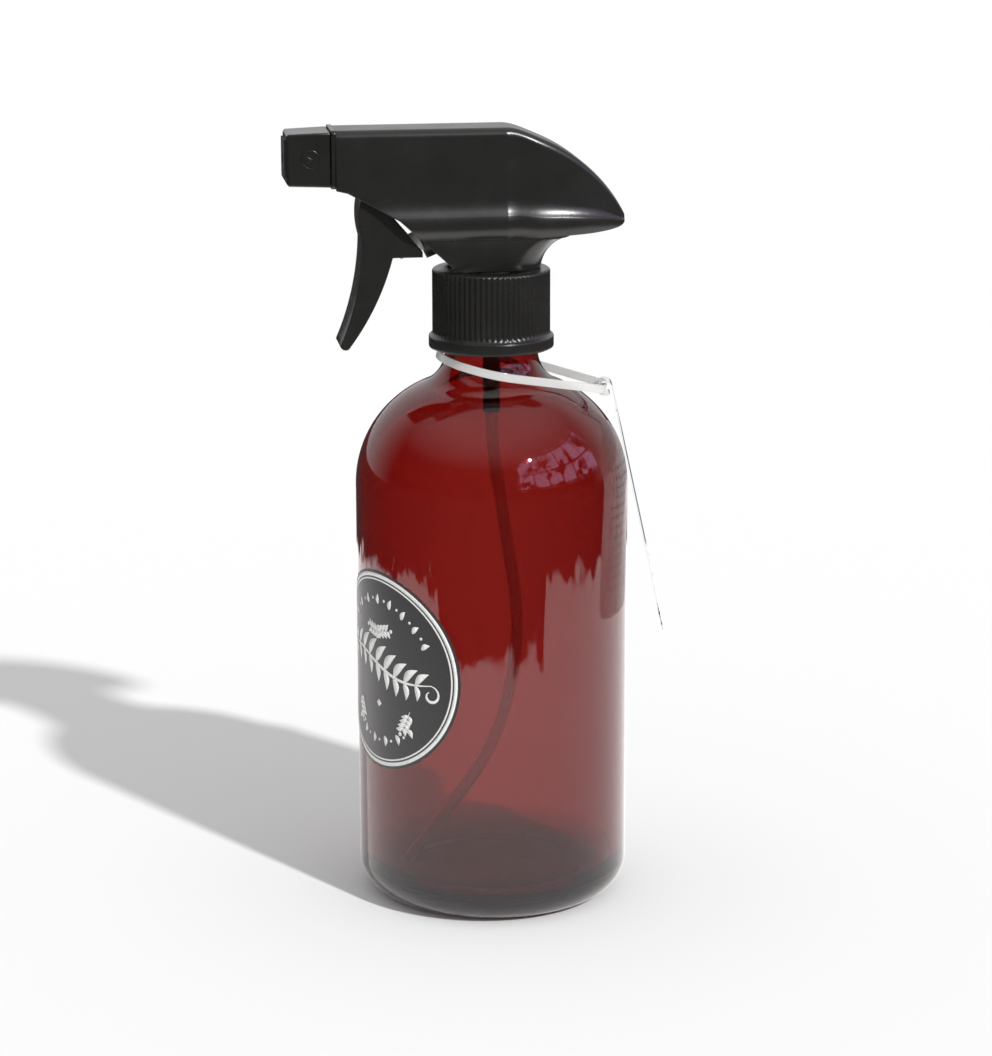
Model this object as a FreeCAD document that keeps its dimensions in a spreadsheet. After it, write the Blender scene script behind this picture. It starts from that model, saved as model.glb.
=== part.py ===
"""Glass spray bottle with a trigger sprayer, a screw collar, a wrapped label and a hanging tag.

The frame is +Z up with its origin at the centre of the bottle's foot. The spray leaves along -X.
Lengths are in millimetres and angles in degrees.
"""
import FreeCAD, Part
import math
import os

doc = FreeCAD.newDocument("spray_bottle")
Vector = FreeCAD.Vector

# ---------------------------------------------------------------------------------------------
# Driving dimensions: (alias, value, meaning)
# ---------------------------------------------------------------------------------------------
DIMENSIONS = [
    ("bottle_radius", 37.5, "outside radius of the bottle's body"),
    ("bottle_height", 168.5, "foot to the top of the finish"),
    ("neck_length", 14.2334, "mouth down to the hollow arc under the neck"),
    ("heel_radius", 9.8, "rounding between side and foot"),
    ("shoulder_radius", 30.4, "shoulder arc"),
    ("throat_radius", 10.0, "hollow arc between shoulder and neck"),
    ("neck_radius", 12.7, "outside of the neck, under the thread"),
    ("glass_wall", 3.1, "glass thickness of side, shoulder and neck"),
    ("floor_height", 6.2, "inside floor above the foot"),
    ("push_up", 2.0, "height of the hollow under the foot"),
    ("push_up_radius", 25.0, "radius of the hollow under the foot"),
    ("inner_heel_radius", 7.5, "rounding between inside wall and floor"),
    ("rim_rounding", 0.7, "rounding of the mouth's edges"),
    ("thread_pitch", 4.233, "28-400 finish, six turns to the inch"),
    ("thread_turns", 1.25, "length of each thread in turns"),
    ("thread_height", 1.1, "how far the glass thread stands off the neck"),
    ("thread_root", 2.1, "width of the glass thread where it meets the neck"),
    ("thread_crest", 1.1, "width of the glass thread at its crest"),
    ("thread_drop", 7.3, "finish top to the lower end of the glass thread"),
    ("thread_gap", 0.35, "radial room between thread crests and the wall they face"),
    ("collar_thread_root", 1.5, "width of the collar's thread at the wall"),
    ("collar_thread_crest", 0.7, "width of the collar's thread at its crest"),
    ("label_radius", 27.8, "radius of the round label, measured round the bottle"),
    ("label_thickness", 0.12, "label film"),
    ("label_drop", 47.7, "start of the shoulder down to the label's centre"),
    ("label_turn", 26.6, "label's centre, turned from the nozzle side towards -Y"),
    ("gasket_thickness", 1.5, "flat washer on the mouth"),
    ("gasket_width", 3.2, "radial width of the washer"),
    ("holder_flange", 1.4, "thickness of the tube holder's flange"),
    ("stem_wall", 0.62, "wall of the tube holder's stem"),
    ("stem_length", 31.5, "mouth to the lower end of the stem"),
    ("spigot_radius", 4.4, "tube holder's plug inside the pump body"),
    ("spigot_height", 4.6, "height of that plug above the flange"),
    ("fit_gap", 0.03, "radial room of pieces pushed into each other"),
    ("slide_gap", 0.04, "radial room of pieces that turn or slide"),
    ("seat_gap", 0.02, "room between a valve piece and its seat"),
    ("tube_radius", 1.7, "outside of the dip tube"),
    ("tube_wall", 0.4, "wall of the dip tube"),
    ("tube_grip", 30.0, "length of tube held in the stem"),
    ("tube_straight", 9.0, "straight stretch of tube below the stem"),
    ("tube_foot_gap", 0.3, "room between the tube's foot and the glass floor"),
    ("tube_foot_inset", 1.0, "room between the tube's foot and the rounding of the floor"),
    ("tube_bow", 8.3, "how far the tube bows away from its foot's side"),
    ("tube_bow_share", 0.45, "share of the way down where it bows most"),
    ("tube_back", 1.6, "where the tube comes back towards the axis"),
    ("tube_back_share", 0.72, "share of the way down where it comes back"),
    ("tube_bend_share", 0.45, "share of the shorter neighbour that each bend takes up"),
    ("ball_radius", 2.1, "inlet ball"),
    ("ball_lift", 1.5, "how far the inlet ball rises"),
    ("seat_angle", 40.0, "half angle of the ball's seat"),
    ("waterway_radius", 1.3, "bore under the ball's seat"),
    ("collar_wall", 1.95, "wall of the ribbed part"),
    ("collar_skirt", 13.4, "how far the collar reaches below the mouth"),
    ("collar_top_plate", 2.0, "thickness of the collar's top"),
    ("collar_band_step", 1.0, "how far the smooth foot band stands out"),
    ("collar_band_height", 3.5, "height of that band"),
    ("collar_edge", 0.8, "rounding of the collar's top edge"),
    ("rib_count", 66, "grooves round the collar"),
    ("rib_depth", 0.42, "depth of each groove"),
    ("rib_radius", 0.55, "radius of each groove's cutter"),
    ("rib_land", 1.3, "smooth stretch above the band before the grooves start"),
    ("flange_thickness", 3.3, "pump body's flange under the collar's top"),
    ("body_neck_radius", 9.4, "pump body where it passes through the collar"),
    ("body_stem_radius", 5.3, "upright stem of the pump body"),
    ("riser_radius", 1.8, "bore of the stem"),
    ("chamber_room", 0.65, "radial room round the inlet ball"),
    ("chamber_headroom", 1.0, "chamber's height over the ball's diameter"),
    ("spray_rise", 36.4, "spray axis above the pump body's foot"),
    ("discharge_radius", 3.0, "outside of the discharge tube"),
    ("discharge_bore", 1.7, "bore of the discharge tube"),
    ("barrel_tilt", 22.6, "slope of the pump barrel, lower at its mouth"),
    ("barrel_wall", 1.1, "wall of the pump barrel"),
    ("barrel_bore", 4.2, "bore of the pump barrel"),
    ("barrel_mouth", 5.2, "mid-stroke contact point to the barrel's mouth"),
    ("barrel_depth", 15.0, "depth of the barrel's bore"),
    ("barrel_drop", 0.8, "barrel's axis below the mid-stroke contact point"),
    ("barrel_floor", 1.55, "thickness of the barrel's closed end"),
    ("port_radius", 1.2, "passage from barrel to stem"),
    ("cross_lug_radius", 2.0, "lug across the stem that holds the shroud"),
    ("cross_lug_drop", 3.0, "discharge tube's underside to that lug"),
    ("stem_cap", 1.0, "height of the stem above the discharge tube"),
    ("pivot_x", -32.0, "trigger pivot, along the head"),
    ("pivot_rise", 29.6, "trigger pivot above the pump body's foot"),
    ("pivot_lever", 19.0, "pivot to the nose that pushes the piston"),
    ("pull_angle", 18.0, "how far the trigger turns"),
    ("pivot_pin_radius", 1.5, "bosses the trigger turns on"),
    ("lug_radius", 2.8, "rounded end of the pivot lugs"),
    ("lug_inside", 3.4, "inner face of a lug from the middle"),
    ("lug_outside", 5.2, "outer face of a lug from the middle"),
    ("trigger_half_width", 6.7, "half the trigger's width"),
    ("trigger_cheek", 1.1, "thickness of the trigger's cheeks"),
    ("trigger_face", 1.8, "thickness of the trigger's finger face"),
    ("trigger_reach", 45.4, "pivot down to the trigger's tip"),
    ("trigger_tip_ahead", 10.0, "pivot forward to the trigger's tip"),
    ("trigger_tip_radius", 1.6, "rounding of the tip"),
    ("trigger_tip_depth", 2.3, "depth of the tip"),
    ("trigger_knee_ahead", 3.7, "pivot forward to the hollow of the finger face"),
    ("trigger_knee_drop", 15.3, "pivot down to that hollow"),
    ("trigger_brow_drop", 3.4, "pivot down to the start of the finger face"),
    ("trigger_brow_radius", 22.0, "curve of the finger face above the hollow"),
    ("trigger_grip_radius", 75.0, "curve of the finger face below the hollow"),
    ("trigger_back_radius", 70.0, "curve of the trigger's back"),
    ("trigger_arm_reach", 8.1, "nose to the end of the cheeks"),
    ("trigger_arm_drop", 8.3, "pivot down to the start of the cheeks' slope"),
    ("trigger_head_room", 1.0, "trigger's head beyond the pivot lugs"),
    ("nose_radius", 1.5, "rounded nose that pushes the piston"),
    ("piston_rod_radius", 2.8, "rod of the piston"),
    ("piston_head_length", 5.0, "length of the piston's head"),
    ("piston_inset", 1.0, "barrel's mouth to the piston's head at rest"),
    ("seal_height", 1.6, "width of the piston's seal"),
    ("seal_depth", 0.9, "depth of the seal's groove"),
    ("spring_inset", 2.0, "barrel's bore to the middle of the spring's wire"),
    ("spring_wire", 0.6, "diameter of the spring's wire"),
    ("spring_room", 0.15, "radial room of the spring in its pocket"),
    ("spring_turns", 5.5, "turns of the return spring"),
    ("spring_pocket", 3.4, "depth of the spring's pocket in the piston"),
    ("shroud_front", -42.6, "front end of the shroud"),
    ("shroud_top_rise", 44.1, "top of the shroud above the pump body's foot"),
    ("shroud_under_rise", 14.6, "underside of the shroud's tail above the pump body's foot"),
    ("shroud_wall", 1.2, "wall of the shroud"),
    ("shroud_tip_x", 36.5, "tip of the tail, along the head"),
    ("shroud_tip_room", 0.35, "how far past the tip the tail's sides would meet"),
    ("shroud_tip_rise", 18.9, "tip of the tail above the pump body's foot"),
    ("shroud_back_radius", 48.2, "arc down the back"),
    ("shroud_back_start", 3.4, "where the back starts to fall"),
    ("shroud_back_lead", 9.5, "how far behind the arc's crown the back starts"),
    ("shroud_ridge", 0.21, "share of the side's height below the bulge"),
    ("shroud_tip_ridge", 0.38, "the same share at the tail's tip"),
    ("shroud_taper_start", 8.0, "where the tail starts to narrow"),
    ("shroud_shoulder", 7.9, "half width under the top's rounded edges"),
    ("shroud_crease", 8.4, "half width at the side crease"),
    ("shroud_bulge", 9.8, "half width at the lower bulge"),
    ("shroud_sweep_share", 0.17, "share of the side's height that sweeps out to the bulge"),
    ("shroud_waist", 9.0, "half width at the underside"),
    ("shroud_edge", 2.3, "rounding of the top's long edges"),
    ("shroud_bulge_radius", 7.0, "rounding under the bulge"),
    ("saddle_radius", 8.8, "half width of the saddle and rounding of its back"),
    ("saddle_flare_x", 22.9, "centre of the hollow sweep from saddle to tail"),
    ("saddle_flare", 9.4, "radius of that hollow sweep"),
    ("saddle_bulge", 0.5, "how far the saddle's sides swell outwards"),
    ("stack_gap", 0.15, "room between head pieces stacked on the collar"),
    ("slope_break_x", -25.8, "where the shroud's lower edge bends, along the head"),
    ("slope_break_rise", 19.9, "that bend above the pump body's foot"),
    ("slope_front_x", -39.6, "where the lower edge leaves the front, along the head"),
    ("slope_front_rise", 27.5, "the lower edge there, above the pump body's foot"),
    ("slope_nose_rise", 28.2, "the shroud's front lower corner above the pump body's foot"),
    ("slope_foot_x", -10.1, "where the lower edge meets the saddle's foot"),
    ("front_plate_size", 15.7, "side of the square plate behind the nozzle"),
    ("front_plate_thickness", 1.2, "thickness of that plate"),
    ("front_plug_depth", 2.5, "how far the plate's plug enters the shroud"),
    ("nozzle_size", 14.7, "side of the nozzle at its back"),
    ("nozzle_front_size", 13.9, "side of the nozzle at its front"),
    ("nozzle_length", 11.5, "length of the nozzle"),
    ("nozzle_gap", 0.3, "room between nozzle and plate"),
    ("nozzle_wall", 1.3, "wall of the nozzle"),
    ("nozzle_hub_radius", 5.4, "hub inside the nozzle"),
    ("nozzle_corner", 0.5, "rounding of the nozzle's long edges"),
    ("neck_spigot_radius", 4.2, "neck that the nozzle turns on"),
    ("neck_spigot_length", 7.4, "length of that neck"),
    ("swirl_radius", 2.6, "bore that holds the swirl plug"),
    ("swirl_length", 4.2, "length of the swirl plug"),
    ("swirl_groove", 0.6, "half width of the plug's grooves"),
    ("orifice_radius", 0.35, "spray hole"),
    ("pad_size", 10.8, "side of the nozzle's front pad"),
    ("pad_recess", 0.6, "how deep the pad sits in the nozzle"),
    ("pad_proud", 0.6, "how far the pad stands out"),
    ("pad_corner", 1.0, "rounding of the pad's corners"),
    ("pad_hole", 1.6, "hole in the pad"),
    ("valve_radius", 2.2, "discharge valve's disc"),
    ("valve_thickness", 0.8, "thickness of that disc"),
    ("valve_stub", 0.9, "radius of the valve's stub"),
    ("valve_travel", 0.8, "how far the discharge valve opens"),
    ("strap_drop", 4.0666, "hollow arc's top to the strap's plane on the bottle's axis"),
    ("strap_fall", 3.3718, "how far the strap falls from the axis to the loop's side"),
    ("strap_turn", -8.0, "side that the tag hangs on, turned from +X"),
    ("strap_room", 3.3, "radial room between neck and strap"),
    ("strap_loop_offset", 1.0, "centre of that round, towards the tag"),
    ("strap_reach", 31.7, "axis to the bar that the tag hangs from, along the strap"),
    ("strap_bar_half", 4.6, "half the length of that bar"),
    ("strap_thickness", 0.6, "strap, across its flat"),
    ("strap_width", 2.2, "strap, along its flat"),
    ("strap_corner", 1.4, "rounding at the ends of the bar"),
    ("tag_length", 67.0, "bar to the tag's lower edge"),
    ("tag_width", 38.0, "width of the tag"),
    ("tag_thickness", 0.45, "tag sheet"),
    ("tag_curl_radius", 1.7, "inside of the curl that hooks the strap"),
    ("tag_curl_end", 300.0, "how far round the curl goes"),
    ("tag_neck_half", 3.2, "half the width of the tag's neck"),
    ("tag_neck_length", 7.0, "length of the tag's neck"),
    ("tag_shoulder", 9.0, "height over which the tag widens"),
    ("tag_corner", 4.0, "rounding of the tag's lower corners"),
    ("tag_rest_gap", 0.3, "room between the resting tag and the shoulder"),
]

sheet = doc.addObject("Spreadsheet::Sheet", "sizes")
for row, (alias, value, meaning) in enumerate(DIMENSIONS, start=1):
    sheet.set("A%d" % row, meaning)
    sheet.set("B%d" % row, str(value))
    sheet.setAlias("B%d" % row, alias)
doc.recompute()


# ---------------------------------------------------------------------------------------------
# Sizes that carry their own sheet expression
# ---------------------------------------------------------------------------------------------
class Size:
    """A number together with the sheet expression that gives it."""

    def __init__(self, value, text):
        self.value = float(value)
        self.text = text

    def __add__(self, other):
        other = as_size(other)
        return Size(self.value + other.value, "(%s + %s)" % (self.text, other.text))

    def __radd__(self, other):
        return as_size(other) + self

    def __sub__(self, other):
        other = as_size(other)
        return Size(self.value - other.value, "(%s - %s)" % (self.text, other.text))

    def __rsub__(self, other):
        return as_size(other) - self

    def __mul__(self, other):
        other = as_size(other)
        return Size(self.value * other.value, "(%s * %s)" % (self.text, other.text))

    def __rmul__(self, other):
        return as_size(other) * self

    def __truediv__(self, other):
        other = as_size(other)
        return Size(self.value / other.value, "(%s / %s)" % (self.text, other.text))

    def __neg__(self):
        return Size(-self.value, "(0 - %s)" % self.text)


def as_size(number):
    """A Size unchanged, or a plain number as a Size."""
    return number if isinstance(number, Size) else Size(number, "%.10g" % number)


def dim(alias):
    """The driving dimension with this alias."""
    return Size(sheet.get(alias), "sizes.%s" % alias)


def root(size):
    return Size(math.sqrt(size.value), "sqrt(%s)" % size.text)


def sine(size):
    return Size(math.sin(math.radians(size.value)), "sin(%s)" % size.text)


def cosine(size):
    return Size(math.cos(math.radians(size.value)), "cos(%s)" % size.text)


def arc_cosine(size):
    """Angle in degrees, as a plain number."""
    return Size(math.degrees(math.acos(size.value)), "(acos(%s) / 1 deg)" % size.text)


def arc_tangent(size):
    """Angle in degrees, as a plain number."""
    return Size(math.degrees(math.atan(size.value)), "(atan(%s) / 1 deg)" % size.text)


# ---------------------------------------------------------------------------------------------
# Builders shared by the sub-parts
# ---------------------------------------------------------------------------------------------
X_AXIS = Vector(1, 0, 0)
Y_AXIS = Vector(0, 1, 0)
Z_AXIS = Vector(0, 0, 1)


def place(item, x=0, y=0, z=0, axis=Z_AXIS, angle=0):
    """Bind an object's Placement to sizes: a turn about one axis, then a shift."""
    item.Placement = FreeCAD.Placement(Vector(0, 0, 0), FreeCAD.Rotation(axis, 10))
    for letter, size in (("x", x), ("y", y), ("z", z)):
        item.setExpression("Placement.Base.%s" % letter, as_size(size).text)
    item.setExpression("Placement.Rotation.Angle", as_size(angle).text)
    return item


def cylinder(name, radius, height, x=0, y=0, z=0, axis=Z_AXIS, angle=0):
    item = doc.addObject("Part::Cylinder", name)
    item.setExpression("Radius", as_size(radius).text)
    item.setExpression("Height", as_size(height).text)
    return place(item, x, y, z, axis, angle)


def box(name, length, width, height, x=0, y=0, z=0):
    """A box centred on y and starting at x and z."""
    item = doc.addObject("Part::Box", name)
    item.setExpression("Length", as_size(length).text)
    item.setExpression("Width", as_size(width).text)
    item.setExpression("Height", as_size(height).text)
    return place(item, x, as_size(y) - as_size(width) / 2, z)


def fused(name, pieces):
    item = doc.addObject("Part::MultiFuse", name)
    item.Shapes = pieces
    return item


def cut(name, base, tool):
    item = doc.addObject("Part::Cut", name)
    item.Base = base
    item.Tool = tool
    return item


def new_body(name):
    body = doc.addObject("PartDesign::Body", name)
    body.Label = name
    return body


def new_sketch(body, role, name, offset=None):
    """A sketch on one of the body's origin planes, moved off it along its normal by offset."""
    sketch = body.newObject("Sketcher::SketchObject", name)
    plane = [feature for feature in body.Origin.OriginFeatures if feature.Role == role][0]
    sketch.AttachmentSupport = (plane, "")
    sketch.MapMode = "FlatFace"
    if offset is not None:
        sketch.setExpression("AttachmentOffset.Base.z", as_size(offset).text)
    return sketch


def arc_between(start, end, radius, side):
    """The minor arc from start to end, with its centre left (side 1) or right (side -1)."""
    chord = end - start
    half = chord.Length / 2
    height = math.sqrt(max(radius * radius - half * half, 0.0))
    normal = Vector(-chord.y, chord.x, 0).normalize()
    centre = (start + end) * 0.5 + normal * height * side
    first = math.atan2(start.y - centre.y, start.x - centre.x)
    last = math.atan2(end.y - centre.y, end.x - centre.x)
    if side < 0:
        first, last = last, first
    circle = Part.Circle(centre, Z_AXIS, radius)
    return Part.ArcOfCircle(circle, first, last)


def bind(sketch, index, size):
    """Tie a dimension constraint to its sheet expression."""
    if "sizes." in size.text:
        sketch.setExpression("Constraints[%d]" % index, size.text)


def import_constraint(*values):
    """A Sketcher constraint, made where it is used so the module loads with FreeCAD's own."""
    import Sketcher
    return Sketcher.Constraint(*values)


def outline(sketch, corners):
    """Draw a closed outline through corners.

    A corner is (x, y) where a straight edge leaves it, or (x, y, radius, side) where an arc
    does. Every corner and every radius is constrained and follows the sheet.
    """
    first_edge = sketch.GeometryCount
    places = [Vector(as_size(c[0]).value, as_size(c[1]).value, 0) for c in corners]
    count = len(corners)
    starts = []
    for index, corner in enumerate(corners):
        start, end = places[index], places[(index + 1) % count]
        if len(corner) == 2:
            sketch.addGeometry(Part.LineSegment(start, end))
            starts.append((1, 2))
        else:
            radius = as_size(corner[2])
            sketch.addGeometry(arc_between(start, end, radius.value, corner[3]))
            starts.append((1, 2) if corner[3] > 0 else (2, 1))
    for index in range(count):
        following = (index + 1) % count
        sketch.addConstraint(import_constraint(
            "Coincident", first_edge + index, starts[index][1],
            first_edge + following, starts[following][0]))
    for index, corner in enumerate(corners):
        edge, point = first_edge + index, starts[index][0]
        for kind, size in (("DistanceX", as_size(corner[0])), ("DistanceY", as_size(corner[1]))):
            number = sketch.addConstraint(import_constraint(kind, -1, 1, edge, point, size.value))
            bind(sketch, number, size)
        if len(corner) > 2:
            radius = as_size(corner[2])
            number = sketch.addConstraint(import_constraint("Radius", edge, radius.value))
            bind(sketch, number, radius)


def circle_on(sketch, x, y, radius):
    """A full circle on a sketch, with its centre and radius following the sheet."""
    x, y, radius = as_size(x), as_size(y), as_size(radius)
    edge = sketch.addGeometry(Part.Circle(Vector(x.value, y.value, 0), Z_AXIS, radius.value))
    for kind, size in (("DistanceX", x), ("DistanceY", y)):
        bind(sketch, sketch.addConstraint(import_constraint(kind, -1, 1, edge, 3, size.value)), size)
    bind(sketch, sketch.addConstraint(import_constraint("Radius", edge, radius.value)), radius)


def square_on(sketch, half_x, half_y, corner):
    """A centred rectangle with rounded corners."""
    inner_x, inner_y = as_size(half_x) - corner, as_size(half_y) - corner
    outline(sketch, [
        (-inner_x, -half_y), (inner_x, -half_y, corner, 1),
        (half_x, -inner_y), (half_x, inner_y, corner, 1),
        (inner_x, half_y), (-inner_x, half_y, corner, 1),
        (-half_x, inner_y), (-half_x, -inner_y, corner, 1)])


def turned(body, name, corners, additive=True):
    """Revolve an outline of (radius, height) corners about the body's own Z axis."""
    sketch = new_sketch(body, "XZ_Plane", name + "_profile")
    outline(sketch, corners)
    kind = "PartDesign::Revolution" if additive else "PartDesign::Groove"
    feature = body.newObject(kind, name)
    feature.Profile = sketch
    feature.ReferenceAxis = (sketch, ["V_Axis"])
    feature.Angle = 360
    return feature


def extruded(body, name, sketch, length, additive=True, midplane=False, backwards=False):
    """Pad or Pocket a sketch by a length."""
    feature = body.newObject("PartDesign::Pad" if additive else "PartDesign::Pocket", name)
    feature.Profile = sketch
    feature.setExpression("Length", as_size(length).text)
    feature.Midplane = midplane
    feature.Reversed = backwards
    return feature


def helical_ridge(body, name, corners):
    """Add a right-handed thread whose section is the outline of (radius, height) corners."""
    sketch = new_sketch(body, "XZ_Plane", name + "_section")
    outline(sketch, corners)
    feature = body.newObject("PartDesign::AdditiveHelix", name)
    feature.Profile = sketch
    feature.ReferenceAxis = (sketch, ["V_Axis"])
    feature.Mode = 1
    feature.setExpression("Pitch", "sizes.thread_pitch")
    feature.setExpression("Turns", "sizes.thread_turns")
    return feature


# ---------------------------------------------------------------------------------------------
# Heights and places that several sub-parts share
# ---------------------------------------------------------------------------------------------
mouth = dim("bottle_height")
gasket_top = mouth + dim("gasket_thickness")
holder_top = gasket_top + dim("holder_flange")
flange_top = holder_top + dim("flange_thickness")
collar_bottom = mouth - dim("collar_skirt")
plate_bottom = flange_top + dim("seat_gap")
collar_top = plate_bottom + dim("collar_top_plate")
saddle_bottom = collar_top + dim("stack_gap")
closure_radius = dim("neck_radius") + dim("thread_gap")
thread_start = mouth - dim("thread_drop")
glass_thread_radius = dim("neck_radius") + dim("thread_height")
collar_bore = glass_thread_radius + dim("thread_gap")
neck_bore = dim("neck_radius") - dim("glass_wall")
shoulder_x = dim("bottle_radius") - dim("shoulder_radius")
throat_x = dim("neck_radius") + dim("throat_radius")
throat_z = mouth - dim("neck_length")
shoulder_reach = dim("shoulder_radius") + dim("throat_radius")
shoulder_rise = root(shoulder_reach * shoulder_reach - (throat_x - shoulder_x) * (throat_x - shoulder_x))
straight_height = throat_z - shoulder_rise
strap_height = throat_z - dim("strap_drop")

spray_height = holder_top + dim("spray_rise")
pivot_height = holder_top + dim("pivot_rise")
shroud_top = holder_top + dim("shroud_top_rise")
shroud_under = holder_top + dim("shroud_under_rise")
spring_radius = dim("barrel_bore") - dim("spring_inset")
stem_radius = dim("tube_radius") + dim("fit_gap") + dim("stem_wall")
barrel_radius = dim("barrel_bore") + dim("barrel_wall")

tilt = dim("barrel_tilt")
half_pull = dim("pull_angle") / 2
lever = dim("pivot_lever")
barrel_x = dim("pivot_x") + (lever + dim("barrel_drop")) * sine(tilt)
barrel_z = pivot_height - (lever + dim("barrel_drop")) * cosine(tilt)
nose_x = dim("pivot_x") + lever * sine(tilt - half_pull)
nose_z = pivot_height - lever * cosine(tilt - half_pull)
half_stroke = lever * sine(half_pull)
piston_face = dim("nose_radius") + dim("seat_gap") - half_stroke
piston_head_start = dim("barrel_mouth") + dim("piston_inset")
piston_head_end = piston_head_start + dim("piston_head_length")
barrel_end = dim("barrel_mouth") + dim("barrel_depth")


def along_barrel(body):
    """Place a body drawn about its own Z axis on the barrel, zero at the contact plane."""
    return place(body, x=barrel_x, z=barrel_z, axis=Y_AXIS, angle=90 - tilt)


def along_spray(body):
    """Place a body drawn about its own Z axis on the spray axis, zero at the shroud's front."""
    return place(body, x=dim("shroud_front"), z=spray_height, axis=Y_AXIS, angle=-90)


# ---------------------------------------------------------------------------------------------
# Bottle, label and closure
# ---------------------------------------------------------------------------------------------
def make_bottle():
    """Blown glass bottle: one wall all round, a heavy foot and a threaded finish."""
    radius, wall = dim("bottle_radius"), dim("glass_wall")
    heel, shoulder, throat = dim("heel_radius"), dim("shoulder_radius"), dim("throat_radius")
    rim, floor, bowl = dim("rim_rounding"), dim("floor_height"), dim("inner_heel_radius")
    outer, inner = shoulder / shoulder_reach, (shoulder - wall) / shoulder_reach
    hollow = dim("push_up")
    hollow_radius = (dim("push_up_radius") * dim("push_up_radius") + hollow * hollow) / (2 * hollow)
    body = new_body("bottle")
    turned(body, "bottle_glass", [
        (0, hollow, hollow_radius, -1),
        (dim("push_up_radius"), 0),
        (radius - heel, 0, heel, 1),
        (radius, heel),
        (radius, straight_height, shoulder, 1),
        (shoulder_x + (throat_x - shoulder_x) * outer,
         straight_height + shoulder_rise * outer, throat, -1),
        (dim("neck_radius"), throat_z),
        (dim("neck_radius"), mouth - rim, rim, 1),
        (dim("neck_radius") - rim, mouth),
        (neck_bore + rim, mouth, rim, 1),
        (neck_bore, mouth - rim),
        (neck_bore, throat_z, throat + wall, 1),
        (shoulder_x + (throat_x - shoulder_x) * inner,
         straight_height + shoulder_rise * inner, shoulder - wall, -1),
        (radius - wall, straight_height),
        (radius - wall, floor + bowl, bowl, -1),
        (radius - wall - bowl, floor),
        (0, floor)])
    root_half, crest_half = dim("thread_root") / 2, dim("thread_crest") / 2
    sunk = dim("neck_radius") - dim("thread_gap")
    helical_ridge(body, "bottle_thread", [
        (sunk, thread_start - root_half),
        (dim("neck_radius"), thread_start - root_half),
        (glass_thread_radius, thread_start - crest_half),
        (glass_thread_radius, thread_start + crest_half),
        (dim("neck_radius"), thread_start + root_half),
        (sunk, thread_start + root_half)])
    return body


def make_label():
    """Round film label that follows the glass; its outline is a circle measured on the surface."""
    inside = sheet.bottle_radius
    outside = inside + sheet.label_thickness
    points = []
    steps = 24
    for step in range(steps):
        turn = 2 * math.pi * step / steps
        across = inside * math.sin(sheet.label_radius * math.cos(turn) / inside)
        points.append(Vector(0, across, sheet.label_radius * math.sin(turn)))
    curve = Part.BSplineCurve()
    curve.interpolate(points, PeriodicFlag=True)
    disc = Part.Face(Part.Wire(curve.toShape()))
    reach = disc.extrude(Vector(-outside - 1, 0, 0))
    tall = 2 * sheet.label_radius + 2
    base = Vector(0, 0, -tall / 2)
    ring = Part.makeCylinder(outside, tall, base).cut(Part.makeCylinder(inside, tall, base))
    item = doc.addObject("Part::Feature", "label")
    item.Shape = ring.common(reach)
    return place(item, z=straight_height - dim("label_drop"), angle=dim("label_turn"))


def make_gasket():
    """Flat washer between the mouth and the tube holder."""
    body = new_body("gasket")
    inside = closure_radius - dim("gasket_width")
    turned(body, "gasket_ring", [
        (inside, mouth), (closure_radius, mouth), (closure_radius, gasket_top), (inside, gasket_top)])
    return body


def make_collar():
    """Screw collar: grooved grip, smooth foot band, and a top that holds the pump body's flange."""
    body = new_body("collar")
    outside = collar_bore + dim("collar_wall")
    band = outside + dim("collar_band_step")
    band_top = collar_bottom + dim("collar_band_height")
    soft, edge = dim("rib_land") / 2, dim("collar_edge")
    hole = dim("body_neck_radius") + dim("slide_gap")
    turned(body, "collar_shell", [
        (collar_bore, collar_bottom),
        (band - soft, collar_bottom, soft, 1),
        (band, collar_bottom + soft),
        (band, band_top - soft, soft, 1),
        (band - soft, band_top),
        (outside, band_top + dim("rib_land")),
        (outside, collar_top - edge, edge, 1),
        (outside - edge, collar_top),
        (hole, collar_top),
        (hole, plate_bottom),
        (collar_bore, plate_bottom)])
    low = thread_start - dim("thread_pitch") / 2
    root_half, crest_half = dim("collar_thread_root") / 2, dim("collar_thread_crest") / 2
    sunk = collar_bore + dim("thread_gap")
    helical_ridge(body, "collar_thread", [
        (sunk, low - root_half), (sunk, low + root_half), (collar_bore, low + root_half),
        (closure_radius, low + crest_half), (closure_radius, low - crest_half),
        (collar_bore, low - root_half)])
    grip_bottom = band_top + dim("rib_land")
    sketch = new_sketch(body, "XY_Plane", "collar_groove_section", offset=grip_bottom)
    circle_on(sketch, outside - dim("rib_depth") + dim("rib_radius"), 0, dim("rib_radius"))
    groove = extruded(body, "collar_groove", sketch, collar_top - edge / 2 - grip_bottom,
                      additive=False, backwards=True)
    pattern = body.newObject("PartDesign::PolarPattern", "collar_grooves")
    pattern.Originals = [groove]
    pattern.Axis = (sketch, ["N_Axis"])
    pattern.Angle = 360
    pattern.setExpression("Occurrences", dim("rib_count").text)
    body.Tip = pattern
    return body


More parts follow.
